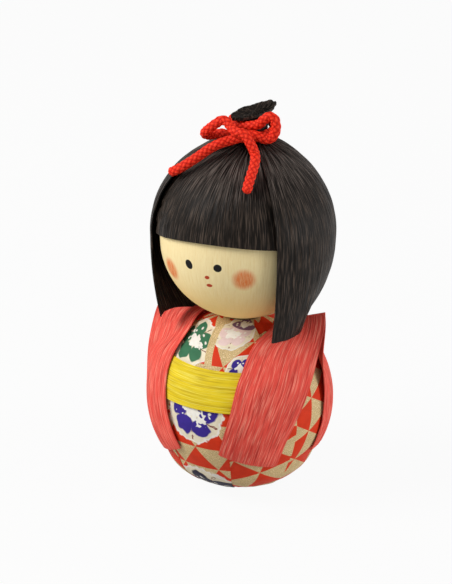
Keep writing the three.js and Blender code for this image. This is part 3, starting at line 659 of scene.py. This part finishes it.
patch, across, along = new_grid("base_patch_paper", columns=72, rows=20)
patch_reach = PATCH_RADIUS * (1 - along)
patch_flat = math.hypot(BODY_Z, PATCH_FLAT_RADIUS)
patch_outer = between(patch_flat, BODY_RADIUS + PATCH_RIM, ease(1 - along, PATCH_BULGE, 1))
patch_outer = patch_outer + foot_fullness(math.pi - np.arcsin(patch_reach / patch_outer))
patch_turn = 2 * math.pi * across
patch_rise = np.maximum(BODY_Z - np.sqrt(patch_outer ** 2 - patch_reach ** 2), 0)
patch_x, patch_y = patch_reach * np.cos(patch_turn), patch_reach * np.sin(patch_turn)
shape(patch, np.column_stack([patch_x, -patch_y, patch_rise]))
grain_map(patch, patch_x, patch_y)
close_seams(patch)
thicken(patch, WRAP_PAPER)
smooth(patch)
patch_print = printed_paper("printed_paper_patch", [(0, 0, 5, 0, INDIGO)])
finished(patch, patch_print, "base_patch")

# Kimono fronts: two more cuts of the printed paper, pasted on the chest. The doll's left one is lapped
# over the right one with its edge folded under, and both are tucked under the obi.
MAUVE = (0.2, 0.1, 0.17)
CHEST_RADIUS = BODY_RADIUS + 0.42 * MM
CHEST_LAP = 0.16 * MM
CHEST_TOP = math.radians(13)
CHEST_FOOT = math.radians(56)
CHEST_SPREAD = math.radians(54)
SEAM_TOP = math.radians(-24)
SEAM_FOOT = math.radians(2)
UNDERLAP = math.radians(9)
FOLD_ROLL = 0.12 * MM
FOLD_ROLL_SHARE = 0.03
CHEST_CREASE_SIZE = (2 * MM, 3 * MM)
LAPEL_WIDTH = 1.9
TUCK_TOP = math.radians(49)
TUCK_DEPTH = {1: 0.5 * MM, -1: 0.1 * MM}


def chest_front(name, side, blossoms):
    """One front, from its edge at the lapel seam, bowed a little, to its other edge under the sleeve."""
    piece, across, along = new_grid(name, columns=60, rows=60)
    angle = between(CHEST_TOP, CHEST_FOOT, along)
    seam = between(SEAM_TOP, SEAM_FOOT, along ** 0.6)
    if side > 0:
        azimuth = between(seam, CHEST_SPREAD, across)
        rolled = FOLD_ROLL * np.exp(-((across / FOLD_ROLL_SHARE) ** 2))
        radius = CHEST_RADIUS + CHEST_LAP + rolled
    else:
        azimuth = between(-CHEST_SPREAD, seam + UNDERLAP, across)
        radius = CHEST_RADIUS - CHEST_LAP * np.ones_like(along)
    wide, long = CHEST_RADIUS * azimuth * np.sin(angle), CHEST_RADIUS * angle
    radius = radius + WRAP_CREASES * crinkle(wide, long, *CHEST_CREASE_SIZE, seed=20 + side)
    radius = radius - TUCK_DEPTH[side] * ease(angle, TUCK_TOP, CHEST_FOOT)
    shape(piece, on_ball(BODY_Z, radius, angle, azimuth))
    grain_map(piece, wide, long)
    set_values(piece, "from_seam", CHEST_RADIUS * (azimuth - seam) * np.sin(angle) / MM)
    thicken(piece, WRAP_PAPER)
    smooth(piece)
    chest_print = printed_paper(f"{name}_print", blossoms, LAPEL_WIDTH if side > 0 else 0.0)
    finished(piece, chest_print, name.replace("_front", "_paper"))


def chest_blossoms(*rows):
    """Blossoms by their place on the chest, given as on the body."""
    radius = CHEST_RADIUS / MM
    return [
        (radius * math.radians(azimuth) * math.sin(math.radians(angle)), radius * math.radians(angle), *rest)
        for azimuth, angle, *rest in rows
    ]


chest_front("chest_front_left", 1, chest_blossoms(
    (20, 27, 4.6, 10, PALE_PINK), (38, 18, 3.8, 0, MAUVE), (30, 51, 3.6, 40, INDIGO)))
chest_front("chest_front_right", -1, chest_blossoms((-25, 38.5, 6.4, 15, LEAF_GREEN)))

# Obi: a band of yellow crepe paper with its grain along the band, drawn across the front of the body over
# the foot of the kimono fronts and pasted down, with its ends under the sleeves.
OBI_TOP_RISE = 13.8 * MM
OBI_HEIGHT = 9.2 * MM
OBI_RADIUS = BODY_RADIUS + 0.6 * MM
OBI_SPREAD = math.radians(56)
OBI_BOW = 0.15 * MM
OBI_PAPER = 0.22 * MM
OBI_RIDGE = 0.7 * MM
OBI_RIDGE_HEIGHT = 0.09 * MM


def crepe_ridges(over, down, pitch, seed):
    """Heights of crepe, -1 to 1: ridges this far apart that wander and run out along the grain."""
    fine = crinkle(over, down, pitch * 0.5, pitch * 9, seed)
    broad = crinkle(over, down, pitch * 1.7, pitch * 14, seed + 1)
    return 0.65 * fine + 0.35 * broad


def height_above(tree):
    return add_node(tree, "SeparateXYZ", {0: object_place(tree)}).outputs["Z"]


def crepe_paper(name, dark, plain, pale, pitch, run, painted_sheen=None, **finish):
    """Crepe paper: three tones in streaks this far apart that run along the grain, over fine ridges.

    With a painted sheen, the streaks turn to its paler tone between two heights and back between two more.
    """
    material, tree, shader = new_material(name, **finish)
    place = grain_place(tree)
    ridges = stretched_noise(tree, place, pitch, pitch * run, detail=2.0)
    fibres = stretched_noise(tree, place, pitch * 0.45, pitch * run * 0.7, detail=2.0)
    cloudy = stretched_noise(tree, place, pitch * 5, pitch * 12, detail=1.0)
    tones = fade(tree, ridges, 0.3, 0.58, dark, plain)
    tones = fade(tree, fibres, 0.46, 0.72, tones, pale)
    # Painted light: a painted sheen turns the streaks paler over a band of heights, as if lit from above
    if painted_sheen:
        tone, *heights = painted_sheen
        level = height_above(tree)
        there = times(tree, ramp(tree, level, *heights[:2]), ramp(tree, level, *heights[:1:-1]))
        streaks = times(tree, there, ramp(tree, fibres, 0.42, 0.68))
        tones = blend_colours(tree, streaks, tones, tone)
    height = plus(tree, ridges, times(tree, fibres, 0.6))
    surface(tree, shader, shaded(tree, tones, cloudy, (0.9, 0.9, 0.9)), height, pitch * 0.22 * MM)
    return material


def shaped_sheet(name, columns, rows, place, relief, flat, thickness, closed=False):
    """A sheet on place(across, along), raised along its own normal by relief(across, along) in metres.

    The grain runs along the sheet, and flat is its size across and along before it was shaped.
    """
    piece, across, along = new_grid(name, columns, rows)
    step = 1e-3
    rightward = place(np.minimum(across + step, 1), along) - place(np.maximum(across - step, 0), along)
    downward = place(across, np.minimum(along + step, 1)) - place(across, np.maximum(along - step, 0))
    normal = np.cross(downward, rightward)
    normal /= np.maximum(np.linalg.norm(normal, axis=1), 1e-15)[:, None]
    shape(piece, place(across, along) + normal * relief(across, along)[:, None])
    grain_map(piece, across * flat[0], along * flat[1])
    if closed:
        close_seams(piece)
    thicken(piece, thickness)
    smooth(piece)
    return piece


def obi_place(across, along):
    rise = OBI_TOP_RISE - OBI_HEIGHT * along
    azimuth = between(-OBI_SPREAD, OBI_SPREAD, across)
    bow = OBI_BOW * np.sin(np.pi * along)
    return on_ball(BODY_Z, OBI_RADIUS + bow, np.arccos(rise / OBI_RADIUS), azimuth)


obi_length = 2 * OBI_SPREAD * OBI_RADIUS


def obi_relief(across, along):
    return OBI_RIDGE_HEIGHT * crepe_ridges(along * OBI_HEIGHT, across * obi_length, OBI_RIDGE, seed=31)


obi = shaped_sheet("obi_crepe_band", 150, 64, obi_place, obi_relief, (obi_length, OBI_HEIGHT), OBI_PAPER)
obi_crepe = crepe_paper(
    "yellow_crepe", (0.56, 0.38, 0.005), (0.77, 0.57, 0.012), (0.9, 0.76, 0.1), 0.5, 34,
    Roughness=0.75, Specular_IOR_Level=0.2)
for entry in obi.data.uv_layers["grain"].data:
    entry.uv = entry.uv.yx
finished(obi, obi_crepe, "obi_band")

# Sleeves: on each side one strip of coral crepe paper, with its grain along it, folded over the shoulder
# and pasted there. Each half lies flat across the fold and round the body below it, and its end hangs free.
SLEEVE_RADIUS = BODY_RADIUS + 1.3 * MM
SLEEVE_WRAP_START = 0.27
SLEEVE_WRAP_END = 0.45
SLEEVE_FLAT = (16.5 * MM, 41 * MM)
SLEEVE_PAPER = 0.22 * MM
SLEEVE_RIDGE = 0.62 * MM
SLEEVE_RIDGE_HEIGHT = 0.075 * MM
CREASE_HALF = 1.3 * MM
CREASE_SPAN = (0.2, 0.34)
# The edges of each half, down from the fold: angle from the top of the body, azimuth, lift in millimetres
BACK_INNER = [(22, 90, 0), (36, 132, 0), (56, 143, -0.4), (80.5, 140, -0.6), (107, 136, -0.6)]
SLEEVE_HALVES = {
    "left_front": (
        [(22, 90, 0), (36, 43, 0.3), (56, 29.5, 0), (80.5, 23.5, 0), (107, 16.5, -0.6)],
        [(40.1, 99, 10.1), (56, 85, 3.7), (79, 70, 0.4), (99, 60, -0.4), (119, 56.5, -0.6)],
    ),
    "left_back": (
        [(40.1, 99, 10.1), (56, 97, 2.8), (80, 94, -0.2), (99, 91.5, -0.6), (115, 88, -0.6)],
        BACK_INNER,
    ),
    "right_front": (
        [(48.7, 83, 6.7), (61, 77, 3.5), (80, 69, 0.35), (104, 60, -0.6), (123, 54, -0.6)],
        [(22, 90, 0), (35, 40, 0.3), (57, 31, 0), (82, 21, 0), (109, 11.5, -0.6)],
    ),
    "right_back": (
        BACK_INNER,
        [(48.7, 83, 6.7), (61, 95, 2.6), (81, 97, -0.3), (100, 95, -0.6), (115, 92, -0.6)],
    ),
}
folds = {joint["child"]: joint for joint in frame["joints"]}


def sleeve_place(edges, side):
    """The surface between two edges: flat across the fold, and round the body below it."""
    lines = [through(edge, CURVE_STEPS) for edge in edges]
    marks = np.linspace(0, 1, len(lines[0]))

    def edge_at(line, along):
        angle, azimuth, lift = (np.interp(along, marks, column) for column in line.T)
        return on_ball(0, SLEEVE_RADIUS + lift * MM, np.radians(angle), side * np.radians(azimuth))

    def place(across, along):
        first, last = (edge_at(line, along) for line in lines)
        first_reach, last_reach = (np.linalg.norm(edge, axis=1)[:, None] for edge in (first, last))
        share = across[:, None]
        first_way, last_way = first / first_reach, last / last_reach
        spread = np.arccos(np.sum(first_way * last_way, axis=1))[:, None]
        way = (first_way * np.sin((1 - share) * spread) + last_way * np.sin(share * spread)) / np.sin(spread)
        rounded = way * between(first_reach, last_reach, share)
        bent = ease(along, SLEEVE_WRAP_START, SLEEVE_WRAP_END)[:, None]
        return between(between(first, last, share), rounded, bent) + (0, 0, BODY_Z)

    return place


coral_crepe = crepe_paper(
    "coral_crepe", (0.55, 0.038, 0.028), (0.82, 0.08, 0.057), (0.97, 0.28, 0.2), 0.55, 18,
    Roughness=0.75, Specular_IOR_Level=0.2)
for seed, (half, edges) in enumerate(SLEEVE_HALVES.items(), start=41):
    side_name, end = half.split("_")
    place = sleeve_place(edges, 1 if side_name == "left" else -1)

    def sleeve_relief(across, along):
        width, length = SLEEVE_FLAT
        return SLEEVE_RIDGE_HEIGHT * crepe_ridges(across * width, along * length, SLEEVE_RIDGE, 10 * seed)

    sleeve = shaped_sheet(f"sleeve_{half}_half", 160, 130, place, sleeve_relief, SLEEVE_FLAT, SLEEVE_PAPER)
    sleeve.data.materials.clear()
    sleeve.data.materials.append(coral_crepe)
    fold = folds[f"{half}_flap"]
    crease, axis = np.array(fold["pos_m"]), np.array(fold["axis"])
    above, below = place(np.array([0.5, 0.5]), np.array(CREASE_SPAN))
    hanging = (below - above) - axis * np.dot(below - above, axis)
    hanging *= CREASE_HALF / np.linalg.norm(hanging)
    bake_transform(sleeve)
    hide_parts(f"sleeve_{half}")
    if end == "front":
        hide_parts(f"sleeve_{side_name}_shoulder")

# Head: cream crepe paper drawn over the ball with its fine grain upright. The eyes are dots of black
# paint, the nose and the mouth dots of red, and the cheeks are rubbed on with dry orange colour.
HEAD_Z = 65.541 * MM
FACE_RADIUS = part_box("face_paper")[1].x
FACE_RIDGE = 0.5 * MM
FACE_RIDGE_HEIGHT = 0.035 * MM
FACE_PAPER = 0.2 * MM
FACE_DEEP = (0.84, 0.66, 0.33)
FACE_CREAM = (0.88, 0.72, 0.39)
FACE_PALE = (0.92, 0.79, 0.47)
# Painted reflected light: an orange glow on the lower face, thrown up from the red body below
FACE_PAINTED_BOUNCE = (1, 0.7, 0.25)
PAINT_BLACK = (0.008, 0.007, 0.007)
PAINT_RED = (0.44, 0.05, 0.018)
CHEEK_ORANGE = (0.7, 0.135, 0.016)
# Azimuth in degrees and height over the middle of the head, half width and half height in millimetres,
# tilt in degrees
EYES = [(-9.4, -1.72, 1.04, 1.26, -32), (12.9, -1.14, 1.08, 1.0, -15)]
LIPS = [(4.9, -4.1, 0.66, 0.5, -20), (6, -6.29, 0.8, 0.48, -8)]
CHEEKS = [(-30.9, -5.4, 3.2, 3.2, 0), (31.1, -3.84, 3.2, 3.2, 0)]


def face_place(across, along):
    return on_ball(HEAD_Z, FACE_RADIUS - FACE_RIDGE_HEIGHT, math.pi * along, 2 * math.pi * (across - 0.5))


face_girth = 2 * math.pi * FACE_RADIUS


def face_relief(across, along):
    ridges = crepe_ridges(across * face_girth, along * face_girth / 2, FACE_RIDGE, seed=51)
    at_seam = ease(1 - np.abs(2 * across - 1), 0, 0.02)
    return FACE_RIDGE_HEIGHT * ridges * np.sin(np.pi * along) * at_seam


def mark(tree, mark_row, inner, outer):
    """1 inside a painted mark on the face, 0 outside it, fading between these shares of its size."""
    azimuth, rise, half_width, half_height, tilt = mark_row
    turn = math.radians(azimuth)
    angle = math.acos(rise * MM / FACE_RADIUS)
    centre = on_ball(HEAD_Z, FACE_RADIUS, angle, turn)[0]
    size = (half_width * MM, max(half_width, half_height) * MM, half_height * MM)
    local = seen_from(tree, object_place(tree), tuple(centre), (0, math.radians(tilt), turn), size)
    return ramp(tree, length_of(tree, local), outer, inner)


face_flat = (face_girth, face_girth / 2)
face = shaped_sheet("face_crepe_ball", 380, 64, face_place, face_relief, face_flat, FACE_PAPER, closed=True)
face_crepe, tree, shader = new_material("painted_cream_crepe", Roughness=0.8, Specular_IOR_Level=0.2)
place = grain_place(tree)
grain = stretched_noise(tree, place, 0.4, 5)
fibres = stretched_noise(tree, place, 0.16, 2.5)
colour = fade(tree, grain, 0.3, 0.6, FACE_DEEP, FACE_CREAM)
colour = fade(tree, fibres, 0.5, 0.8, colour, FACE_PALE)
# Painted light: the lower face is tinted more orange, a painted reflection of light from the red body below
painted_bounce = times(tree, ramp(tree, height_above(tree), HEAD_Z - 4 * MM, HEAD_Z - 17 * MM), 0.8)
colour = blend_colours(tree, painted_bounce, colour, FACE_PAINTED_BOUNCE)
rubbed = plus(tree, times(tree, ramp(tree, fibres, 0.35, 0.65), 0.5), 0.5)
for row in CHEEKS:
    cheek = times(tree, mark(tree, row, 0.5, 1.12), rubbed)
    colour = blend_colours(tree, cheek, colour, CHEEK_ORANGE)
for row in LIPS:
    colour = blend_colours(tree, mark(tree, row, 0.86, 1.1), colour, PAINT_RED)
for row in EYES:
    colour = blend_colours(tree, mark(tree, row, 0.93, 1.05), colour, PAINT_BLACK)
surface(tree, shader, colour, plus(tree, grain, times(tree, fibres, 0.4)), 0.06 * MM)
finished(face, face_crepe, "face_paper")

# Hair: two sheets of black crepe paper with their grain down from the crown, where they are gathered.
# The fringe is cut straight over the brow. The back sheet hangs to the nape, longer at its front edges,
# and droops a little by the right shoulder.
GATHER_RISE = 2.3 * MM
GATHER_CURVE = 1.2
GATHER_SPREAD = math.radians(55)
GATHER_OPENING = math.radians(4.2)
FRINGE_RADIUS = FACE_RADIUS + 0.8 * MM
FRINGE_SPREAD = math.radians(60)
FRINGE_RISE = 4.6 * MM
FRINGE_TILT = math.radians(4)
FRINGE_ARCH = 3.4 * MM
FRINGE_FALL = 1.35
BACK_HAIR_RADIUS = FACE_RADIUS + 2.2 * MM
BACK_HAIR_EDGE = math.radians(51.5)
BACK_HAIR_COLUMNS = 27
BACK_HAIR_FALL = 2.45
DOME_SHARE = 0.62
HAIR_PAPER = 0.3 * MM
SHOULDER_DROP = 1.5 * MM
SHOULDER_DROP_MIDDLE = math.radians(268)
SHOULDER_DROP_SPREAD = math.radians(12)
# Heights of a painted sheen on the black crepe: paler streaks round the crown, where light falls from above
HAIR_SHEEN_HEIGHTS = (HEAD_Z + 12 * MM, HEAD_Z + 21 * MM, HEAD_Z + 25 * MM, HEAD_Z + 27 * MM)
HAIR_RIDGE = 0.9 * MM
HAIR_RIDGE_HEIGHT = 0.13 * MM
HAIR_PLEATS = 44
HAIR_PLEAT_HEIGHT = 0.32 * MM
HAIR_PLEAT_FOOT = math.radians(42)
WRINKLE_HEIGHT = 0.28 * MM
WRINKLE_SIZE = (3.2 * MM, 1.1 * MM)
WRINKLE_SLOPE = 0.4
WRINKLED_SIDE = (18, 40)
WRINKLED_FALL = (0.55, 0.75)


def hair_dome(radius, angle, azimuth):
    """A ball that is fuller towards the gather at the crown and is drawn back to it."""
    fullness = GATHER_RISE * (1 - (angle / (math.pi / 2)) ** GATHER_CURVE)
    points = on_ball(HEAD_Z, radius + fullness, angle, azimuth)
    points[:, 1] += GATHER_BACK * np.maximum(0, 1 - angle / GATHER_SPREAD) ** 2
    return points


def hair_relief(width, length, turn, angle, seed):
    """Ridges down the sheet, and pleats that fade away below the gather."""
    wander = 1.5 * crinkle(turn, angle, math.radians(20), math.radians(40), seed + 5)
    pleats = np.sin(HAIR_PLEATS * turn + wander) * (1 - ease(angle, GATHER_OPENING, HAIR_PLEAT_FOOT))
    ridges = crepe_ridges(width, length, HAIR_RIDGE, seed)
    return HAIR_RIDGE_HEIGHT * ridges * ease(angle, 0, math.radians(30)) + HAIR_PLEAT_HEIGHT * pleats


def fringe_angles(across, along):
    azimuth = between(-FRINGE_SPREAD, FRINGE_SPREAD, across)
    aside = FRINGE_RADIUS * np.sin(azimuth)
    rise = FRINGE_RISE + aside * math.tan(FRINGE_TILT) - FRINGE_ARCH * (aside / FRINGE_RADIUS) ** 2
    return azimuth, between(GATHER_OPENING, np.arccos(rise / FRINGE_RADIUS), along)


def fringe_place(across, along):
    azimuth, angle = fringe_angles(across, along)
    return hair_dome(FRINGE_RADIUS, angle, azimuth)


fringe_flat = (2 * FRINGE_SPREAD * FRINGE_RADIUS, FRINGE_FALL * FRINGE_RADIUS)


def fringe_relief(across, along):
    azimuth, angle = fringe_angles(across, along)
    over, down = across * fringe_flat[0], along * fringe_flat[1]
    raised = hair_relief(over, down, azimuth, angle, seed=61)
    crushed = ease(-np.degrees(azimuth), *WRINKLED_SIDE) * ease(along, *WRINKLED_FALL)
    wrinkles = crinkle(over, down + WRINKLE_SLOPE * over, *WRINKLE_SIZE, seed=64)
    return raised + WRINKLE_HEIGHT * crushed * wrinkles


def hem_of(node, columns):
    """Reach and height of the lowest edge of a hanging sheet, at each of its columns round the head."""
    corners = corners_of(frame["nodes"][node].data)
    azimuth = np.arctan2(corners[:, 0], -corners[:, 1]) % (2 * np.pi)
    nearest = np.argmin(np.abs(azimuth[:, None] - columns), axis=1)
    low = [min(corners[nearest == column], key=lambda corner: corner[2]) for column in range(len(columns))]
    return [math.hypot(x, y) for x, y, _ in low], [z for _, _, z in low]


hem_turn = np.linspace(BACK_HAIR_EDGE, 2 * math.pi - BACK_HAIR_EDGE, BACK_HAIR_COLUMNS)
hem_reach, hem_z = hem_of("back_hair", hem_turn)
from_shoulder = (hem_turn - SHOULDER_DROP_MIDDLE) / SHOULDER_DROP_SPREAD
hem_z = hem_z - SHOULDER_DROP * np.exp(-(from_shoulder ** 2))


def back_hair_angles(across, along):
    azimuth = between(BACK_HAIR_EDGE, 2 * math.pi - BACK_HAIR_EDGE, across)
    return azimuth, between(GATHER_OPENING, math.pi / 2, np.minimum(along / DOME_SHARE, 1))


def back_hair_place(across, along):
    azimuth, angle = back_hair_angles(across, along)
    fall = np.maximum(along - DOME_SHARE, 0) / (1 - DOME_SHARE)
    radius = between(BACK_HAIR_RADIUS, np.interp(azimuth, hem_turn, hem_reach), fall ** 2)
    points = hair_dome(radius, angle, azimuth)
    points[:, 2] += fall * (np.interp(azimuth, hem_turn, hem_z) - HEAD_Z)
    return points


back_hair_flat = (2 * (math.pi - BACK_HAIR_EDGE) * BACK_HAIR_RADIUS, BACK_HAIR_FALL * BACK_HAIR_RADIUS)


def back_hair_relief(across, along):
    azimuth, angle = back_hair_angles(across, along)
    return hair_relief(across * back_hair_flat[0], along * back_hair_flat[1], azimuth, angle, seed=71)


# The black crepe carries a painted sheen: paler streaks round the crown
black_crepe = crepe_paper(
    "black_crepe", (0.005, 0.004, 0.003), (0.01, 0.0075, 0.006), (0.088, 0.063, 0.048), 0.62, 14,
    painted_sheen=((0.145, 0.118, 0.104), *HAIR_SHEEN_HEIGHTS), Roughness=0.5, Specular_IOR_Level=0.1)
fringe = shaped_sheet("fringe_crepe", 300, 70, fringe_place, fringe_relief, fringe_flat, HAIR_PAPER)
finished(fringe, black_crepe, "fringe")
back_hair = shaped_sheet(
    "back_hair_crepe", 560, 76, back_hair_place, back_hair_relief, back_hair_flat, HAIR_PAPER)
finished(back_hair, black_crepe, "back_hair")

# Topknot: the gathered upper ends of the hair sheets, bound with black thread and cut off.
# The folds of the paper show as pleats round it and as a crumpled swirl on its top, which rises to the back.
TOPKNOT_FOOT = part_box("topknot")[0].z
TOPKNOT_NECK = 2.8 * MM
TOPKNOT_FLARE = TOPKNOT_FOOT + 4.2 * MM
TOPKNOT_SHOULDER = 0.75 * MM
TOPKNOT_TOP = TOPKNOT_FLARE + 1.9 * MM
TOPKNOT_RIM = 0.7 * MM
TOPKNOT_LONG = 7.2 * MM
TOPKNOT_SHORT = 3.3 * MM
TOPKNOT_TURN = math.radians(-15)
TOPKNOT_RIM_SLANT = 0.6 * MM
TOPKNOT_TOP_SLANT = 0.3 * MM
TOPKNOT_PEAK = 0.5 * MM
TOPKNOT_DISH = 0.5 * MM
TOPKNOT_PLEATS = 9
TOPKNOT_PLEAT_DEPTH = 0.07
TOPKNOT_FINE_DEPTH = 0.03
TOPKNOT_SWIRL = 2.2
TOPKNOT_CRUMPLE = 0.3
TOPKNOT_FINE_CRUMPLE = 0.12
TOPKNOT_SURFACE = 20
# Share of the way down the surface, long and short radius, height, slant
TOPKNOT_RINGS = np.array([
    (0, 0, 0, TOPKNOT_TOP - TOPKNOT_DISH, 0),
    (0.38, TOPKNOT_LONG * 0.97, TOPKNOT_SHORT * 0.95, TOPKNOT_TOP, TOPKNOT_TOP_SLANT),
    (0.42, TOPKNOT_LONG, TOPKNOT_SHORT, TOPKNOT_TOP - TOPKNOT_RIM / 4, TOPKNOT_TOP_SLANT),
    (0.55, TOPKNOT_LONG, TOPKNOT_SHORT, TOPKNOT_TOP - TOPKNOT_RIM, TOPKNOT_RIM_SLANT),
    (0.64, (TOPKNOT_LONG + TOPKNOT_NECK) / 2, (TOPKNOT_SHORT + TOPKNOT_NECK) / 2,
     TOPKNOT_FLARE + TOPKNOT_SHOULDER, 0),
    (0.72, TOPKNOT_NECK, TOPKNOT_NECK, TOPKNOT_FLARE, 0),
    (0.95, TOPKNOT_NECK, TOPKNOT_NECK, TOPKNOT_FOOT, 0),
    (1, 0, 0, TOPKNOT_FOOT, 0),
])
topknot, across, along = new_grid("topknot_crepe_tuft", columns=216, rows=90)
around = 2 * np.pi * np.where(across > 1 - 1e-6, 0, across)
long_radius, short_radius, height, slant = (
    np.interp(along, TOPKNOT_RINGS[:, 0], column) for column in TOPKNOT_RINGS.T[1:])
swirl = around + TOPKNOT_SWIRL * (1 - np.minimum(along / 0.4, 1))
pleats = 0.5 - 0.5 * np.cos(TOPKNOT_PLEATS * swirl + 0.8 * np.sin(2 * around))
folds_fine = 0.5 - 0.5 * np.cos(4 * TOPKNOT_PLEATS * swirl + 1.3 * np.sin(3 * around))
narrowed = 1 - TOPKNOT_PLEAT_DEPTH * pleats - TOPKNOT_FINE_DEPTH * folds_fine
forward = long_radius * narrowed * np.cos(around)
aside = short_radius * narrowed * np.sin(around)
on_top = 1 - ease(along, 0.34, 0.44)
height = height - slant * forward / TOPKNOT_LONG
at_back = ease(-forward / TOPKNOT_LONG, 0.55, 0.9)
height = height + TOPKNOT_PEAK * at_back * (1 - ease(along, 0.42, 0.55))
crumpled = TOPKNOT_CRUMPLE * pleats + TOPKNOT_FINE_CRUMPLE * folds_fine
height = height - on_top * crumpled * ease(along, 0, 0.15) * MM
turned_x = aside * math.cos(TOPKNOT_TURN) + forward * math.sin(TOPKNOT_TURN)
turned_y = aside * math.sin(TOPKNOT_TURN) - forward * math.cos(TOPKNOT_TURN)
shape(topknot, np.column_stack([turned_x, turned_y + GATHER_BACK, height]))
grain_map(topknot, around * TOPKNOT_SHORT, along * TOPKNOT_SURFACE * MM)
close_seams(topknot)
smooth(topknot)
finished(topknot, black_crepe, "topknot")

THREAD_TURNS = 6
THREAD_DIAMETER = 0.46 * MM
THREAD_TWIST = 0.9 * MM
THREAD_PLY_DEPTH = 0.05 * MM
THREAD_GAP = 0.3 * MM
THREAD_SPACING = 0.12 * MM
THREAD_SIDES = 12
thread_low, thread_high = (corner.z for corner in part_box("binding_thread"))
thread_turn = np.linspace(0, 2 * np.pi * THREAD_TURNS, 60 * THREAD_TURNS)
thread_reach = TOPKNOT_NECK + THREAD_GAP + THREAD_DIAMETER / 2
thread_line = np.column_stack([
    thread_reach * np.cos(thread_turn),
    thread_reach * np.sin(thread_turn) + GATHER_BACK,
    np.linspace(thread_low + THREAD_DIAMETER / 2, thread_high - THREAD_DIAMETER / 2, len(thread_turn)),
])
thread_path, thread_marks = evenly_spaced(thread_line, THREAD_SPACING)


def thread_radius(angle, distance):
    ply = np.abs(np.cos(angle + 2 * np.pi * distance / THREAD_TWIST))
    twisted = THREAD_DIAMETER / 2 - THREAD_PLY_DEPTH * (1 - ply)
    return rounded_end(distance, thread_marks[-1], THREAD_DIAMETER / 2) * twisted


thread, _, _ = tube("binding_thread_winding", thread_path, thread_marks, thread_radius, THREAD_SIDES)
close_seams(thread)
smooth(thread)
black_thread = speckled(
    "black_twisted_thread", (9000,) * 3, (0.012, 0.01, 0.009), (0.04, 0.035, 0.03), 0.03 * MM, Roughness=0.7)
finished(thread, black_thread, "binding_thread")

# Studio: a pale floor that runs out to white, a large soft lamp at the picture's left, a weaker one at its
# right, and even light from all round that keeps the shadows open.
FLOOR_SIZE = 6
FLOOR_PALE = (0.54, 0.54, 0.53, 1)
WHITE_SHARE = 0.94
FILL_STRENGTH = 0.41

bpy.ops.object.select_all(action="DESELECT")
bpy.ops.mesh.primitive_plane_add(size=FLOOR_SIZE)
floor = bpy.context.object
floor.name = "pale_floor"
floor_paint = bpy.data.materials.new("pale_floor_paint")
floor_paint.use_nodes = True
tree = floor_paint.node_tree
tree.nodes.clear()
ray = add_node(tree, "LightPath").outputs
mirrored = calc(tree, "MAXIMUM", ray["Is Glossy Ray"], ray["Is Transmission Ray"])
seen = calc(tree, "MAXIMUM", ray["Is Camera Ray"], mirrored)
whiten = times(tree, seen, WHITE_SHARE)
matt = add_node(tree, "BsdfDiffuse", {"Color": FLOOR_PALE}).outputs["BSDF"]
white = add_node(tree, "Emission", {"Color": (1, 1, 1, 1), "Strength": 1.0}).outputs["Emission"]
mixed = add_node(tree, "MixShader", {0: whiten, 1: matt, 2: white}).outputs["Shader"]
add_node(tree, "OutputMaterial", {"Surface": mixed})
floor.data.materials.append(floor_paint)

world = bpy.data.worlds.new("soft_studio")
bpy.context.scene.world = world
world.use_nodes = True
tree = world.node_tree
tree.nodes.clear()
ray = add_node(tree, "LightPath").outputs
seen = calc(tree, "MAXIMUM", ray["Is Camera Ray"], ray["Is Transmission Ray"])
fill, white = (
    add_node(tree, "Background", {"Color": (1, 1, 1, 1), "Strength": strength}).outputs["Background"]
    for strength in (FILL_STRENGTH, 1.0))
mixed = add_node(tree, "MixShader", {0: seen, 1: fill, 2: white}).outputs["Shader"]
add_node(tree, "OutputWorld", {"Surface": mixed})


def soft_lamp(name, azimuth, elevation, distance, size, power):
    """A square lamp round from the doll's front by the azimuth, aimed at the middle of the picture."""
    way = way_to(math.radians(azimuth), math.radians(elevation))
    bpy.ops.object.light_add(type="AREA", location=PICTURE_MIDDLE + distance * way)
    lamp = bpy.context.object
    lamp.name = name
    lamp.rotation_euler = way.to_track_quat("Z", "Y").to_euler()
    lamp.data.size = size
    lamp.data.energy = power


soft_lamp("key_lamp", -44, 38, 0.8, 0.4, 5.7)
soft_lamp("side_lamp", 108, 10, 0.9, 0.4, 4.4)

bpy.context.scene.view_settings.view_transform = "Standard"
